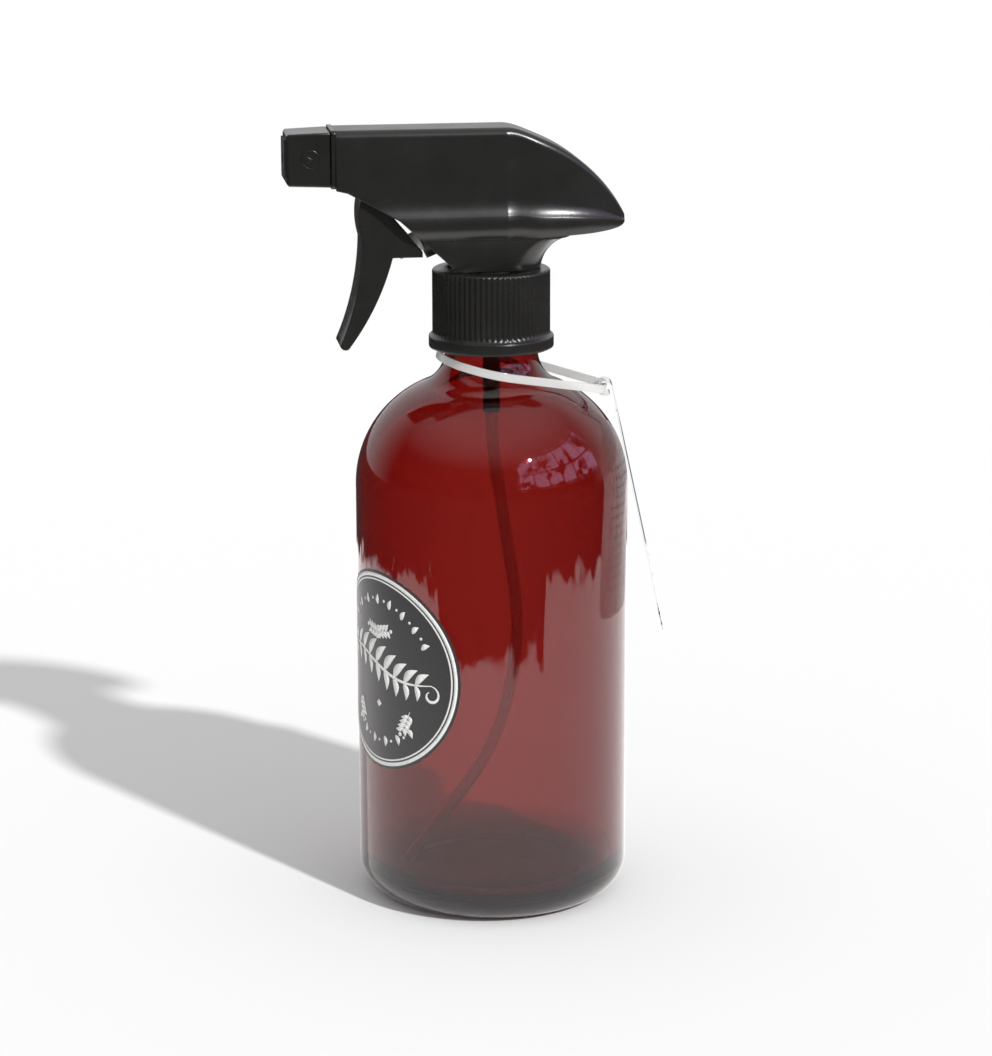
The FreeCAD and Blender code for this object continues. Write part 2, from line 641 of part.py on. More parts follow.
def make_tube_holder():
    """Holder under the pump body: flange on the gasket, ball seat on top, long stem below."""
    body = new_body("tube_holder")
    stem, bore = stem_radius, dim("tube_radius") + dim("fit_gap")
    water, plug = dim("waterway_radius"), dim("spigot_radius")
    tube_top = mouth - dim("stem_length") + dim("tube_grip")
    plug_top = holder_top + dim("spigot_height")
    seat_width = dim("ball_radius") * cosine(dim("seat_angle")) + dim("slide_gap")
    seat_drop = (seat_width - water) * cosine(dim("seat_angle")) / sine(dim("seat_angle"))
    turned(body, "holder_shape", [
        (bore, mouth - dim("stem_length")),
        (stem, mouth - dim("stem_length")),
        (stem, gasket_top - dim("spigot_height")),
        (plug, gasket_top - dim("spigot_height") / 2),
        (plug, gasket_top),
        (closure_radius, gasket_top),
        (closure_radius, holder_top),
        (plug, holder_top),
        (plug, plug_top),
        (seat_width, plug_top),
        (water, plug_top - seat_drop),
        (water, tube_top),
        (bore, tube_top)])
    return body


def make_inlet_ball():
    """Steel ball resting on the holder's conical seat."""
    body = new_body("inlet_ball")
    radius = dim("ball_radius")
    seat_angle = dim("seat_angle")
    plug_top = holder_top + dim("spigot_height")
    rim = radius * cosine(seat_angle) + dim("slide_gap")
    height = plug_top + (radius + dim("seat_gap") - rim * cosine(seat_angle)) / sine(seat_angle)
    sketch = new_sketch(body, "XZ_Plane", "ball_profile")
    outline(sketch, [(0, -radius, radius, 1), (radius, 0, radius, 1), (0, radius)])
    feature = body.newObject("PartDesign::Revolution", "ball")
    feature.Profile = sketch
    feature.ReferenceAxis = (sketch, ["V_Axis"])
    feature.Angle = 360
    return place(body, z=height)


def make_dip_tube():
    """Clear tube from the stem down to the heel of the bottle, bowed as it was cut from a coil."""
    body = new_body("dip_tube")
    stem_end = mouth - dim("stem_length")
    top = stem_end + dim("tube_grip")
    straight = dim("tube_straight")
    floor_edge = dim("bottle_radius") - dim("glass_wall") - dim("inner_heel_radius")
    foot_x = dim("tube_radius") + dim("tube_foot_inset") - floor_edge
    foot_z = dim("floor_height") + dim("tube_radius") + dim("tube_foot_gap")
    first_z = stem_end - straight
    drop = first_z - foot_z
    route = [
        (as_size(0), top),
        (as_size(0), first_z),
        (dim("tube_bow"), first_z - drop * dim("tube_bow_share")),
        (dim("tube_back"), first_z - drop * dim("tube_back_share")),
        (foot_x, foot_z)]
    places = [Vector(x.value, z.value, 0) for x, z in route]
    path = new_sketch(body, "XZ_Plane", "tube_path")
    point = places[0]
    for index in range(1, len(places) - 1):
        before = places[index - 1] - places[index]
        after = places[index + 1] - places[index]
        share = sheet.tube_bend_share * min(before.Length, after.Length)
        if index == 1:
            share = min(share, straight.value)
        start = places[index] + before * (share / before.Length)
        end = places[index] + after * (share / after.Length)
        turn = math.pi - before.getAngle(after)
        radius = share / math.tan(turn / 2)
        side = 1 if before.cross(after).z < 0 else -1
        path.addGeometry(Part.LineSegment(point, start))
        path.addGeometry(arc_between(start, end, radius, side))
        point = end
        print("dip tube bend %d: radius %.1f mm" % (index, radius))
    path.addGeometry(Part.LineSegment(point, places[-1]))
    section = new_sketch(body, "XY_Plane", "tube_section", offset=top)
    circle_on(section, 0, 0, dim("tube_radius"))
    circle_on(section, 0, 0, dim("tube_radius") - dim("tube_wall"))
    pipe = body.newObject("PartDesign::AdditivePipe", "tube")
    pipe.Profile = section
    pipe.Spine = path
    return body


# ---------------------------------------------------------------------------------------------
# Pump
# ---------------------------------------------------------------------------------------------
def make_pump_body():
    """One moulding: flange, stem, sloping barrel, discharge tube, pivot lugs and cross lug."""
    spray = spray_height
    stem_top = spray + dim("discharge_radius") + dim("stem_cap")
    tube_end = dim("shroud_front") - dim("front_plate_thickness")
    pivot_x, pivot_z = dim("pivot_x"), pivot_height
    lug, inside, outside = dim("lug_radius"), dim("lug_inside"), dim("lug_outside")
    barrel_top = barrel_end + dim("barrel_floor")
    cross_height = spray - dim("discharge_radius") - dim("cross_lug_drop")
    cross_reach = dim("shroud_crease") - dim("shroud_wall") - 2 * dim("stack_gap")
    lugs = []
    for side, start in (("left", -outside), ("right", inside)):
        lugs.append(cylinder("lug_end_" + side, lug, outside - inside, x=pivot_x, y=start + (
            outside - inside), z=pivot_z, axis=X_AXIS, angle=90))
        lugs.append(box("lug_web_" + side, 2 * lug, outside - inside, spray - pivot_z,
                        x=pivot_x - lug, y=start + (outside - inside) / 2, z=pivot_z))
    bridge = box("lug_bridge", 2 * lug, 2 * outside, dim("discharge_radius"), x=pivot_x - lug,
                 z=spray - dim("discharge_radius") / 2)
    solid = fused("pump_solid", [
        cylinder("body_flange", closure_radius, dim("flange_thickness"),
                 z=holder_top),
        cylinder("body_neck", dim("body_neck_radius"), collar_top - flange_top + dim("seat_gap"),
                 z=flange_top),
        cylinder("body_stem", dim("body_stem_radius"), stem_top - flange_top, z=flange_top),
        cylinder("body_barrel", barrel_radius, barrel_top - dim("barrel_mouth"),
                 x=barrel_x + dim("barrel_mouth") * cosine(tilt),
                 z=barrel_z + dim("barrel_mouth") * sine(tilt), axis=Y_AXIS, angle=90 - tilt),
        cylinder("body_discharge", dim("discharge_radius"), -tube_end, z=spray,
                 axis=Y_AXIS, angle=-90),
        cylinder("body_cross_lug", dim("cross_lug_radius"), 2 * cross_reach,
                 x=dim("cross_lug_radius"), y=cross_reach, z=cross_height, axis=X_AXIS, angle=90),
        bridge] + lugs)
    socket = dim("spigot_height") + dim("stack_gap")
    hollow = fused("pump_hollow", [
        cylinder("body_socket", dim("spigot_radius") + dim("fit_gap"), socket, z=holder_top),
        cylinder("body_chamber", dim("ball_radius") + dim("chamber_room"),
                 2 * dim("ball_radius") + dim("chamber_headroom"), z=holder_top + socket),
        cylinder("body_riser", dim("riser_radius"), spray - holder_top, z=holder_top),
        cylinder("body_outlet", dim("discharge_bore"), -tube_end, z=spray,
                 axis=Y_AXIS, angle=-90),
        cylinder("body_bore", dim("barrel_bore"), dim("barrel_depth"),
                 x=barrel_x + dim("barrel_mouth") * cosine(tilt),
                 z=barrel_z + dim("barrel_mouth") * sine(tilt), axis=Y_AXIS, angle=90 - tilt),
        cylinder("body_port", dim("port_radius"), dim("body_stem_radius"),
                 x=barrel_x + (barrel_end - 0.5) * cosine(tilt),
                 z=barrel_z + (barrel_end - 0.5) * sine(tilt), axis=Y_AXIS, angle=90 - tilt),
        cylinder("body_pivot_hole", dim("pivot_pin_radius") + dim("slide_gap"), 2 * outside + 2,
                 x=pivot_x, y=outside + 1, z=pivot_z, axis=X_AXIS, angle=90)])
    body = cut("pump_body", solid, hollow)
    return body


def make_piston():
    """Piston: rod out of the barrel, grooved head, and a pocket for the return spring."""
    body = new_body("piston")
    bore = dim("barrel_bore") - dim("slide_gap")
    rod = dim("piston_rod_radius")
    pocket = spring_radius + dim("spring_wire") / 2 + dim("spring_room")
    groove_start = piston_head_start + (dim("piston_head_length") - dim("seal_height")) / 2
    groove_end = groove_start + dim("seal_height")
    root_radius = bore - dim("seal_depth")
    pocket_floor = piston_head_end - dim("spring_pocket")
    turned(body, "piston_shape", [
        (0, piston_face), (rod, piston_face), (rod, piston_head_start - 1),
        (bore, piston_head_start), (bore, groove_start), (root_radius, groove_start),
        (root_radius, groove_end), (bore, groove_end), (bore, piston_head_end),
        (pocket, piston_head_end), (pocket, pocket_floor), (0, pocket_floor)])
    return along_barrel(body)


def make_piston_seal():
    """Rubber ring in the piston's groove."""
    body = new_body("piston_seal")
    outside = dim("barrel_bore") - dim("seat_gap")
    inside = dim("barrel_bore") - dim("slide_gap") - dim("seal_depth")
    start = piston_head_start + (dim("piston_head_length") - dim("seal_height")) / 2
    end = start + dim("seal_height")
    round_edge = dim("seal_height") / 5
    turned(body, "seal_shape", [
        (inside, start), (outside - round_edge, start), (outside, start + round_edge),
        (outside, end - round_edge), (outside - round_edge, end), (inside, end)])
    return along_barrel(body)


def make_return_spring():
    """Steel coil between the piston's pocket and the barrel's end."""
    body = new_body("return_spring")
    wire = dim("spring_wire") / 2
    start = piston_head_end - dim("spring_pocket") + wire + dim("seat_gap")
    height = barrel_end - dim("seat_gap") - wire - start
    sketch = new_sketch(body, "XZ_Plane", "spring_section")
    circle_on(sketch, spring_radius, start, wire)
    coil = body.newObject("PartDesign::AdditiveHelix", "spring_coil")
    coil.Profile = sketch
    coil.ReferenceAxis = (sketch, ["V_Axis"])
    coil.Mode = 2
    coil.setExpression("Height", height.text)
    coil.setExpression("Turns", "sizes.spring_turns")
    return along_barrel(body)


def make_trigger():
    """Trigger: finger face between two cheeks, bosses at the pivot and a nose on the piston."""
    body = new_body("trigger")
    width, inner = dim("trigger_half_width"), dim("trigger_half_width") - dim("trigger_cheek")
    px, pz, face = dim("pivot_x"), pivot_height, dim("trigger_face")
    tip_x, tip_z = px - dim("trigger_tip_ahead"), pz - dim("trigger_reach")
    tip_round = dim("trigger_tip_radius")
    head = dim("lug_radius") + dim("trigger_head_room")
    arm_low = nose_z - dim("nose_radius")
    arm_x = nose_x + dim("trigger_arm_reach")
    knee_x, knee_z = px - dim("trigger_knee_ahead"), pz - dim("trigger_knee_drop")
    brow_z, brow_round = pz - dim("trigger_brow_drop"), dim("trigger_brow_radius")
    grip_round = dim("trigger_grip_radius")
    sketch = new_sketch(body, "XZ_Plane", "trigger_side")
    outline(sketch, [
        (px - head, brow_z, brow_round, 1),
        (knee_x, knee_z, grip_round, -1),
        (tip_x, tip_z + tip_round, tip_round, 1),
        (tip_x + dim("trigger_tip_depth"), tip_z + tip_round / 2, dim("trigger_back_radius"), 1),
        (nose_x, arm_low),
        (arm_x, arm_low),
        (arm_x, arm_low + dim("nose_radius")),
        (px + head, pz - dim("trigger_arm_drop")),
        (px + head, pz, head, 1),
        (px, pz + head, head, 1),
        (px - head, pz)])
    extruded(body, "trigger_block", sketch, 2 * width, midplane=True)
    channel = new_sketch(body, "XZ_Plane", "trigger_channel")
    far_x, far_z = arm_x + head, pz + 2 * head
    near_x, sill_z, floor_z = px - 2 * head, brow_z - face / 2, tip_z + tip_round * 1.5
    outline(channel, [
        (near_x, sill_z),
        (px - head + face, sill_z, brow_round, 1),
        (knee_x + face, knee_z, grip_round, -1),
        (tip_x + face * 1.25, floor_z),
        (far_x, floor_z),
        (far_x, far_z),
        (near_x, far_z)])
    extruded(body, "trigger_hollow", channel, 2 * inner, additive=False, midplane=True)
    bosses = new_sketch(body, "XZ_Plane", "trigger_boss_section")
    circle_on(bosses, px, pz, dim("pivot_pin_radius"))
    extruded(body, "trigger_bosses", bosses, 2 * inner + dim("trigger_cheek"), midplane=True)
    gap = new_sketch(body, "XZ_Plane", "trigger_boss_gap_section")
    circle_on(gap, px, pz, dim("pivot_pin_radius") + dim("slide_gap"))
    extruded(body, "trigger_boss_gap", gap, 2 * dim("lug_inside"), additive=False, midplane=True)
    nose = new_sketch(body, "XZ_Plane", "trigger_nose_section")
    circle_on(nose, nose_x, nose_z, dim("nose_radius"))
    extruded(body, "trigger_nose", nose, 2 * inner + dim("trigger_cheek"), midplane=True)
    return body


# ---------------------------------------------------------------------------------------------
# Shroud
# ---------------------------------------------------------------------------------------------
def shroud_section(body, name, x, inset):
    """One cross-section of the shroud at x, set in from the outside by inset."""
    taper, back_start = dim("shroud_taper_start"), dim("shroud_back_start")
    full = shroud_top - shroud_under
    plan = as_size(1)
    if x.value > taper.value:
        across = (x - taper) / (dim("shroud_tip_x") + dim("shroud_tip_room") - taper)
        plan = root(1 - across * across)
    top = shroud_top
    if x.value > back_start.value:
        back, lead = dim("shroud_back_radius"), dim("shroud_back_lead")
        beyond = x - back_start + lead
        top = top - root(back * back - lead * lead) + root(back * back - beyond * beyond)
    tip = holder_top + dim("shroud_tip_rise")
    low = tip - (tip - shroud_under) * root(plan)
    whole = top - low
    edge = (dim("shroud_edge") - inset / 2) * root(whole / full)
    top, low = top - inset, low + inset
    tall = top - low
    shoulder = dim("shroud_shoulder") * plan - inset
    crease, bulge = dim("shroud_crease") * plan - inset, dim("shroud_bulge") * plan - inset
    waist = dim("shroud_waist") * plan - inset
    tip_ridge = dim("shroud_tip_ridge")
    bulge_z = low + tall * (tip_ridge - (tip_ridge - dim("shroud_ridge")) * plan)
    flare, sweep_height = bulge - crease, tall * dim("shroud_sweep_share")
    sweep = (flare * flare + sweep_height * sweep_height) / (2 * flare)
    crease_z = bulge_z + sweep_height
    under = (dim("shroud_bulge_radius") - inset / 2) * (plan + 1) / 2
    sketch = new_sketch(body, "YZ_Plane", name, offset=x)
    outline(sketch, [
        (shoulder - edge, top),
        (edge - shoulder, top, edge, 1),
        (-shoulder, top - edge),
        (-crease, crease_z, sweep, -1),
        (-bulge, bulge_z, under, 1),
        (-waist, low),
        (waist, low, under, 1),
        (bulge, bulge_z, sweep, -1),
        (crease, crease_z),
        (shoulder, top - edge, edge, 1)])
    return sketch


def shroud_roof(name, inset, overhang, tail_end):
    """Straight front part and lofted tail, set in from the outside by inset."""
    body = new_body(name)
    front, start = dim("shroud_front") - overhang, dim("shroud_back_start")
    first = shroud_section(body, name + "_front", front, inset)
    extruded(body, name + "_straight", first, start - front)
    steps = 7
    sections = []
    for step in range(steps + 1):
        share = sine(as_size(90.0 * step / steps))
        x = start + (tail_end - start) * share
        sections.append(shroud_section(body, "%s_section_%d" % (name, step), x, inset))
    loft = body.newObject("PartDesign::AdditiveLoft", name + "_tail")
    loft.Profile = sections[0]
    loft.Sections = sections[1:]
    return body


def shroud_saddle(name, inset, first_angle):
    """Foot of the shroud on the collar: swelling sides and a back that sweeps out to the tail."""
    body = new_body(name)
    radius = dim("saddle_flare") + inset
    centre_z = saddle_bottom - dim("saddle_flare") * sine(as_size(5))
    half_tall = (shroud_under - saddle_bottom) / 2
    sections = []
    for step, angle in enumerate([first_angle, 25, 42, 57, 70, 82]):
        z = centre_z + radius * sine(as_size(angle))
        share = (z - saddle_bottom - half_tall) / half_tall
        half = dim("saddle_radius") + dim("saddle_bulge") * (1 - share * share) - inset
        turn_x = dim("saddle_flare_x") - radius * cosine(as_size(angle)) - half
        start = dim("slope_break_x") - 4
        sketch = new_sketch(body, "XY_Plane", "%s_section_%d" % (name, step), offset=z)
        outline(sketch, [
            (start, -half), (turn_x, -half, half, 1), (turn_x + half, 0, half, 1),
            (turn_x, half), (start, half)])
        sections.append(sketch)
    loft = body.newObject("PartDesign::AdditiveLoft", name + "_sweep")
    loft.Profile = sections[0]
    loft.Sections = sections[1:]
    sketch = sections[-1]
    extruded(body, name + "_root", sketch, dim("shroud_wall") * 2)
    return body


def make_shroud():
    """Snap-on cover of the pump: one wall all over, open below for the trigger."""
    wall = dim("shroud_wall")
    outside = fused("shroud_outside", [
        shroud_roof("roof_outside", as_size(0), as_size(0), dim("shroud_tip_x")),
        shroud_saddle("saddle_outside", as_size(0), 5)])
    slope_body = new_body("shroud_slope")
    sketch = new_sketch(slope_body, "XZ_Plane", "slope_side")
    front, below = dim("shroud_front") - 2, saddle_bottom - 5
    outline(sketch, [
        (front, below),
        (dim("slope_foot_x"), below),
        (dim("slope_foot_x"), saddle_bottom),
        (dim("slope_break_x"), holder_top + dim("slope_break_rise")),
        (dim("slope_front_x"), holder_top + dim("slope_front_rise")),
        (dim("shroud_front"), holder_top + dim("slope_nose_rise")),
        (front, holder_top + dim("slope_nose_rise"))])
    extruded(slope_body, "slope_cut", sketch, 3 * dim("shroud_bulge"), midplane=True)
    inside = fused("shroud_inside", [
        shroud_roof("roof_inside", wall, as_size(1), dim("shroud_tip_x") - 2 * wall),
        shroud_saddle("saddle_inside", wall, -8),
        slope_body])
    return cut("shroud", outside, inside)


# ---------------------------------------------------------------------------------------------
# Nozzle
# ---------------------------------------------------------------------------------------------
plate_front = dim("front_plate_thickness")
cap_back = plate_front + dim("nozzle_gap")
cap_front = cap_back + dim("nozzle_length")
spigot_end = plate_front + dim("neck_spigot_length")
pad_back = cap_front - dim("pad_recess")


def make_nozzle_bush():
    """Square plate that closes the shroud's front and carries the neck the nozzle turns on."""
    body = new_body("nozzle_bush")
    half = dim("front_plate_size") / 2
    corner = dim("shroud_edge") / 2
    plate = new_sketch(body, "XY_Plane", "bush_plate_outline")
    square_on(plate, half, half, corner)
    extruded(body, "bush_plate", plate, plate_front)
    plug_half = dim("front_plate_size") / 2 - dim("shroud_wall") - dim("stack_gap") - dim("slide_gap")
    plug = new_sketch(body, "XY_Plane", "bush_plug_outline")
    square_on(plug, plug_half, plug_half, corner + dim("stack_gap"))
    extruded(body, "bush_plug", plug, dim("front_plug_depth"), backwards=True)
    neck = new_sketch(body, "XY_Plane", "bush_neck_outline", offset=plate_front)
    circle_on(neck, 0, 0, dim("neck_spigot_radius"))
    extruded(body, "bush_neck", neck, dim("neck_spigot_length"))
    swirl = new_sketch(body, "XY_Plane", "bush_swirl_outline", offset=spigot_end)
    circle_on(swirl, 0, 0, dim("swirl_radius"))
    extruded(body, "bush_swirl_bore", swirl, dim("neck_spigot_length"), additive=False)
    tube = new_sketch(body, "XY_Plane", "bush_tube_outline", offset=plate_front)
    circle_on(tube, 0, 0, dim("discharge_radius") + dim("fit_gap"))
    extruded(body, "bush_tube_bore", tube, plate_front + dim("front_plug_depth"), additive=False)
    return along_spray(body)


def make_nozzle_cap():
    """Square nozzle, slightly tapered, with a hub that turns on the bush's neck."""
    body = new_body("nozzle_cap")
    back, front = dim("nozzle_size") / 2, dim("nozzle_front_size") / 2
    corner = dim("nozzle_corner")
    sections = []
    for name, z, half in (("back", cap_back, back), ("brow", cap_front - corner, front),
                          ("front", cap_front, front - corner)):
        sketch = new_sketch(body, "XY_Plane", "cap_outline_" + name, offset=z)
        square_on(sketch, half, half, corner)
        sections.append(sketch)
    loft = body.newObject("PartDesign::AdditiveLoft", "cap_form")
    loft.Profile = sections[0]
    loft.Sections = sections[1:]
    loft.Ruled = True
    hollow_half = front - dim("nozzle_wall")
    hollow_end = spigot_end + dim("nozzle_wall")
    hollow = new_sketch(body, "XY_Plane", "cap_hollow_outline", offset=cap_back)
    square_on(hollow, hollow_half, hollow_half, corner)
    circle_on(hollow, 0, 0, dim("nozzle_hub_radius"))
    extruded(body, "cap_hollow", hollow, hollow_end - cap_back, additive=False, backwards=True)
    swirl_end = spigot_end + 2 * dim("nozzle_wall")
    turned(body, "cap_bore", [
        (0, cap_back - 1),
        (dim("neck_spigot_radius") + dim("slide_gap"), cap_back - 1),
        (dim("neck_spigot_radius") + dim("slide_gap"), spigot_end + dim("nozzle_gap")),
        (dim("pad_hole"), spigot_end + dim("nozzle_gap")),
        (dim("orifice_radius"), swirl_end),
        (dim("orifice_radius"), cap_front + 1),
        (0, cap_front + 1)], additive=False)
    recess = new_sketch(body, "XY_Plane", "cap_recess_outline", offset=cap_front)
    recess_half = dim("pad_size") / 2 + dim("fit_gap")
    square_on(recess, recess_half, recess_half, dim("pad_corner"))
    extruded(body, "cap_recess", recess, dim("pad_recess") + dim("seat_gap"), additive=False)
    return along_spray(body)


def make_nozzle_pad():
    """Raised square pad round the spray hole."""
    body = new_body("nozzle_pad")
    half = dim("pad_size") / 2
    sketch = new_sketch(body, "XY_Plane", "pad_outline", offset=pad_back)
    square_on(sketch, half, half, dim("pad_corner"))
    circle_on(sketch, 0, 0, dim("pad_hole"))
    extruded(body, "pad", sketch, dim("pad_recess") + dim("pad_proud"))
    return along_spray(body)


def make_swirl_plug():
    """Plug with two long grooves that spin the liquid before the spray hole."""
    body = new_body("swirl_plug")
    radius, groove = dim("swirl_radius") - dim("fit_gap"), dim("swirl_groove")
    end = spigot_end - dim("nozzle_gap")
    start = end - dim("swirl_length")
    sketch = new_sketch(body, "XY_Plane", "plug_outline", offset=start)
    circle_on(sketch, 0, 0, radius)
    extruded(body, "plug", sketch, dim("swirl_length"))
    grooves = new_sketch(body, "XY_Plane", "plug_groove_outline", offset=end)
    for side in (-1, 1):
        outline(grooves, [
            (-groove, side * (radius + 1)), (groove, side * (radius + 1)),
            (groove, side * (radius - groove)), (-groove, side * (radius - groove))])
    extruded(body, "plug_grooves", grooves, dim("swirl_length"), additive=False)
    return along_spray(body)


def make_discharge_valve():
    """Rubber flap with a stub, resting on the end of the discharge tube."""
    body = new_body("discharge_valve")
    seat = plate_front + dim("seat_gap")
    disc_end = seat + dim("valve_thickness")
    stub_end = spigot_end - dim("nozzle_gap") - dim("swirl_length") - dim("valve_travel")
    turned(body, "valve_shape", [
        (0, seat), (dim("valve_radius"), seat), (dim("valve_radius"), disc_end),
        (dim("valve_stub"), disc_end), (dim("valve_stub"), stub_end - dim("seat_gap")),
        (0, stub_end - dim("seat_gap"))])
    return along_spray(body)


# ---------------------------------------------------------------------------------------------
# Strap and tag
# ---------------------------------------------------------------------------------------------
loop_radius = dim("neck_radius") + dim("strap_room")
strap_tilt = arc_tangent(dim("strap_fall") / loop_radius)
bar_x = dim("strap_reach") * cosine(strap_tilt)
bar_z = strap_height - dim("strap_reach") * sine(strap_tilt)


def make_tag_strap():
    """Moulded loop that hangs round the neck and ends in a bar for the tag."""
    body = new_body("tag_strap")
    sketch = new_sketch(body, "XY_Plane", "strap_loop")
    sketch.AttachmentOffset = FreeCAD.Placement(Vector(0, 0, 0), FreeCAD.Rotation(Y_AXIS, 10))
    sketch.setExpression("AttachmentOffset.Rotation.Angle", strap_tilt.text)
    sketch.setExpression("AttachmentOffset.Base.z", strap_height.text)
    loop, offset, corner = loop_radius, dim("strap_loop_offset"), dim("strap_corner")
    corner_x = dim("strap_reach") - corner
    corner_y = dim("strap_bar_half") - corner
    span_x = corner_x - offset
    span = root(span_x * span_x + corner_y * corner_y)
    lean = arc_tangent(corner_y / span_x) + arc_cosine((loop - corner) / span)
    for edge in (dim("strap_thickness") / 2, -dim("strap_thickness") / 2):
        big, small = loop + edge, corner + edge
        big_x, big_y = offset + big * cosine(lean), big * sine(lean)
        small_x, small_y = corner_x + small * cosine(lean), corner_y + small * sine(lean)
        outline(sketch, [
            (dim("strap_reach") + edge, -corner_y),
            (dim("strap_reach") + edge, corner_y, small, 1),
            (small_x, small_y),
            (big_x, big_y, big, 1),
            (offset - big, 0, big, 1),
            (big_x, -big_y),
            (small_x, -small_y, small, 1)])
    extruded(body, "strap_band", sketch, dim("strap_width"), midplane=True)
    return place(body, angle=dim("strap_turn"))


def make_tag_card():
    """Clear card hooked over the strap's bar, leaning on the bottle's shoulder."""
    body = new_body("tag_card")
    inside = dim("tag_curl_radius")
    outside = inside + dim("tag_thickness")
    shoulder = dim("shoulder_radius")
    away_x = bar_x - shoulder_x
    away_z = bar_z - straight_height
    away = root(away_x * away_x + away_z * away_z)
    reach = (shoulder + dim("tag_rest_gap") - inside) / away
    lean = arc_tangent(away_z / away_x) - arc_cosine(reach)
    side = new_sketch(body, "XZ_Plane", "tag_side")
    side.AttachmentOffset = FreeCAD.Placement(Vector(0, 0, 0), FreeCAD.Rotation(Z_AXIS, 10))
    side.setExpression("AttachmentOffset.Rotation.Angle", lean.text)
    third = dim("tag_curl_end") / 3
    turns = [third, 2 * third, 3 * third]
    outer_points = [(outside * cosine(turn), outside * sine(turn)) for turn in turns]
    inner_points = [(inside * cosine(turn), inside * sine(turn)) for turn in turns]
    outline(side, [
        (outside, -dim("tag_length")),
        (outside, 0, outside, 1),
        outer_points[0] + (outside, 1),
        outer_points[1] + (outside, 1),
        outer_points[2],
        inner_points[2] + (inside, -1),
        inner_points[1] + (inside, -1),
        inner_points[0] + (inside, -1),
        (inside, 0),
        (inside, -dim("tag_length"))])
    extruded(body, "tag_sheet", side, dim("tag_width"), midplane=True)
    trim = new_sketch(body, "YZ_Plane", "tag_trim")
    trim.AttachmentOffset = FreeCAD.Placement(Vector(0, 0, 0), FreeCAD.Rotation(X_AXIS, 10))
    trim.setExpression("AttachmentOffset.Rotation.Angle", (-lean).text)
    half, neck, corner = dim("tag_width") / 2, dim("tag_neck_half"), dim("tag_corner")
    neck_end = -dim("tag_neck_length")
    for hand in (-1, 1):
        outline(trim, [
            (hand * neck, 2 * outside),
            (hand * neck, neck_end),
            (hand * half, neck_end - dim("tag_shoulder")),
            (hand * half, corner - dim("tag_length"), corner, -hand),
            (hand * (half - corner), -dim("tag_length")),
            (hand * (half - corner), -dim("tag_length") - 1),
            (hand * (half + 1), -dim("tag_length") - 1),
            (hand * (half + 1), 2 * outside)])
    extruded(body, "tag_outline", trim, 6 * outside, additive=False, midplane=True)
    turn = dim("strap_turn")
    return place(body, x=bar_x * cosine(turn), y=bar_x * sine(turn), z=bar_z, angle=turn)


# ---------------------------------------------------------------------------------------------
# Build, check and write
# ---------------------------------------------------------------------------------------------
SUB_PARTS = [
    make_bottle, make_label, make_gasket, make_collar, make_tube_holder, make_inlet_ball,
    make_dip_tube, make_pump_body, make_piston, make_piston_seal, make_return_spring,
    make_trigger, make_shroud, make_nozzle_bush, make_swirl_plug, make_discharge_valve,
    make_nozzle_cap, make_nozzle_pad, make_tag_strap, make_tag_card]


def check(items):
    """Stop with a message if any object failed or any sub-part isn't one sound solid."""
    broken = [item.Name for item in doc.Objects if {"Invalid", "Error"} & set(item.State)]
    if broken:
        raise RuntimeError("failed objects: " + ", ".join(broken))
    for item in items:
        shape = item.Shape
        if shape.isNull() or not shape.isValid():
            raise RuntimeError(item.Label + " has no valid shape")
        if len(shape.Solids) != 1:
            raise RuntimeError("%s has %d solids" % (item.Label, len(shape.Solids)))


def write(items):
    """Write each sub-part to parts/NODE.step."""
    os.makedirs("parts", exist_ok=True)
    for item in items:
        item.Shape.exportStep(os.path.join("parts", item.Label + ".step"))
        print("%-16s %10.1f mm3" % (item.Label, item.Shape.Volume))


sub_parts = [make() for make in SUB_PARTS]
doc.recompute()
check(sub_parts)
write(sub_parts)
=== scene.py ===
"""Amber-red glass spray bottle with a moulded trigger sprayer, a wrapped label and a clear tag.

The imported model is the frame: +Z is up, the origin is the centre of the bottle's foot, and the
spray leaves along -X. Lengths are in metres unless a name ends in mm.
"""

import logging
import math
from collections.abc import Callable, Iterable, Sequence
from dataclasses import dataclass
from enum import Enum
from typing import Any

import bmesh
import bpy
from mathutils import Matrix, Vector


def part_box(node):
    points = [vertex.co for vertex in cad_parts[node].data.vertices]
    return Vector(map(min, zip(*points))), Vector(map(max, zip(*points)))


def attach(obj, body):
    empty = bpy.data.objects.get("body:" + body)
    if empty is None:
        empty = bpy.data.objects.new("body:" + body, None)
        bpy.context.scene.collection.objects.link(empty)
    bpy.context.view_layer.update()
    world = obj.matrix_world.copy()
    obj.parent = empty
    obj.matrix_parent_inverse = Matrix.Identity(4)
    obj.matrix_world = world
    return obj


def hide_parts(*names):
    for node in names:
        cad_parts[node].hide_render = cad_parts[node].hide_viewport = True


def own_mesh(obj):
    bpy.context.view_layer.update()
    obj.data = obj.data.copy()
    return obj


log = logging.getLogger("spray_bottle")
MM = 0.001
TURN = 2.0 * math.pi

Point2 = tuple[float, float]
Colour = tuple[float, float, float, float]
Socket = bpy.types.NodeSocket
Tree = bpy.types.NodeTree
Values = dict[str | int, Any]

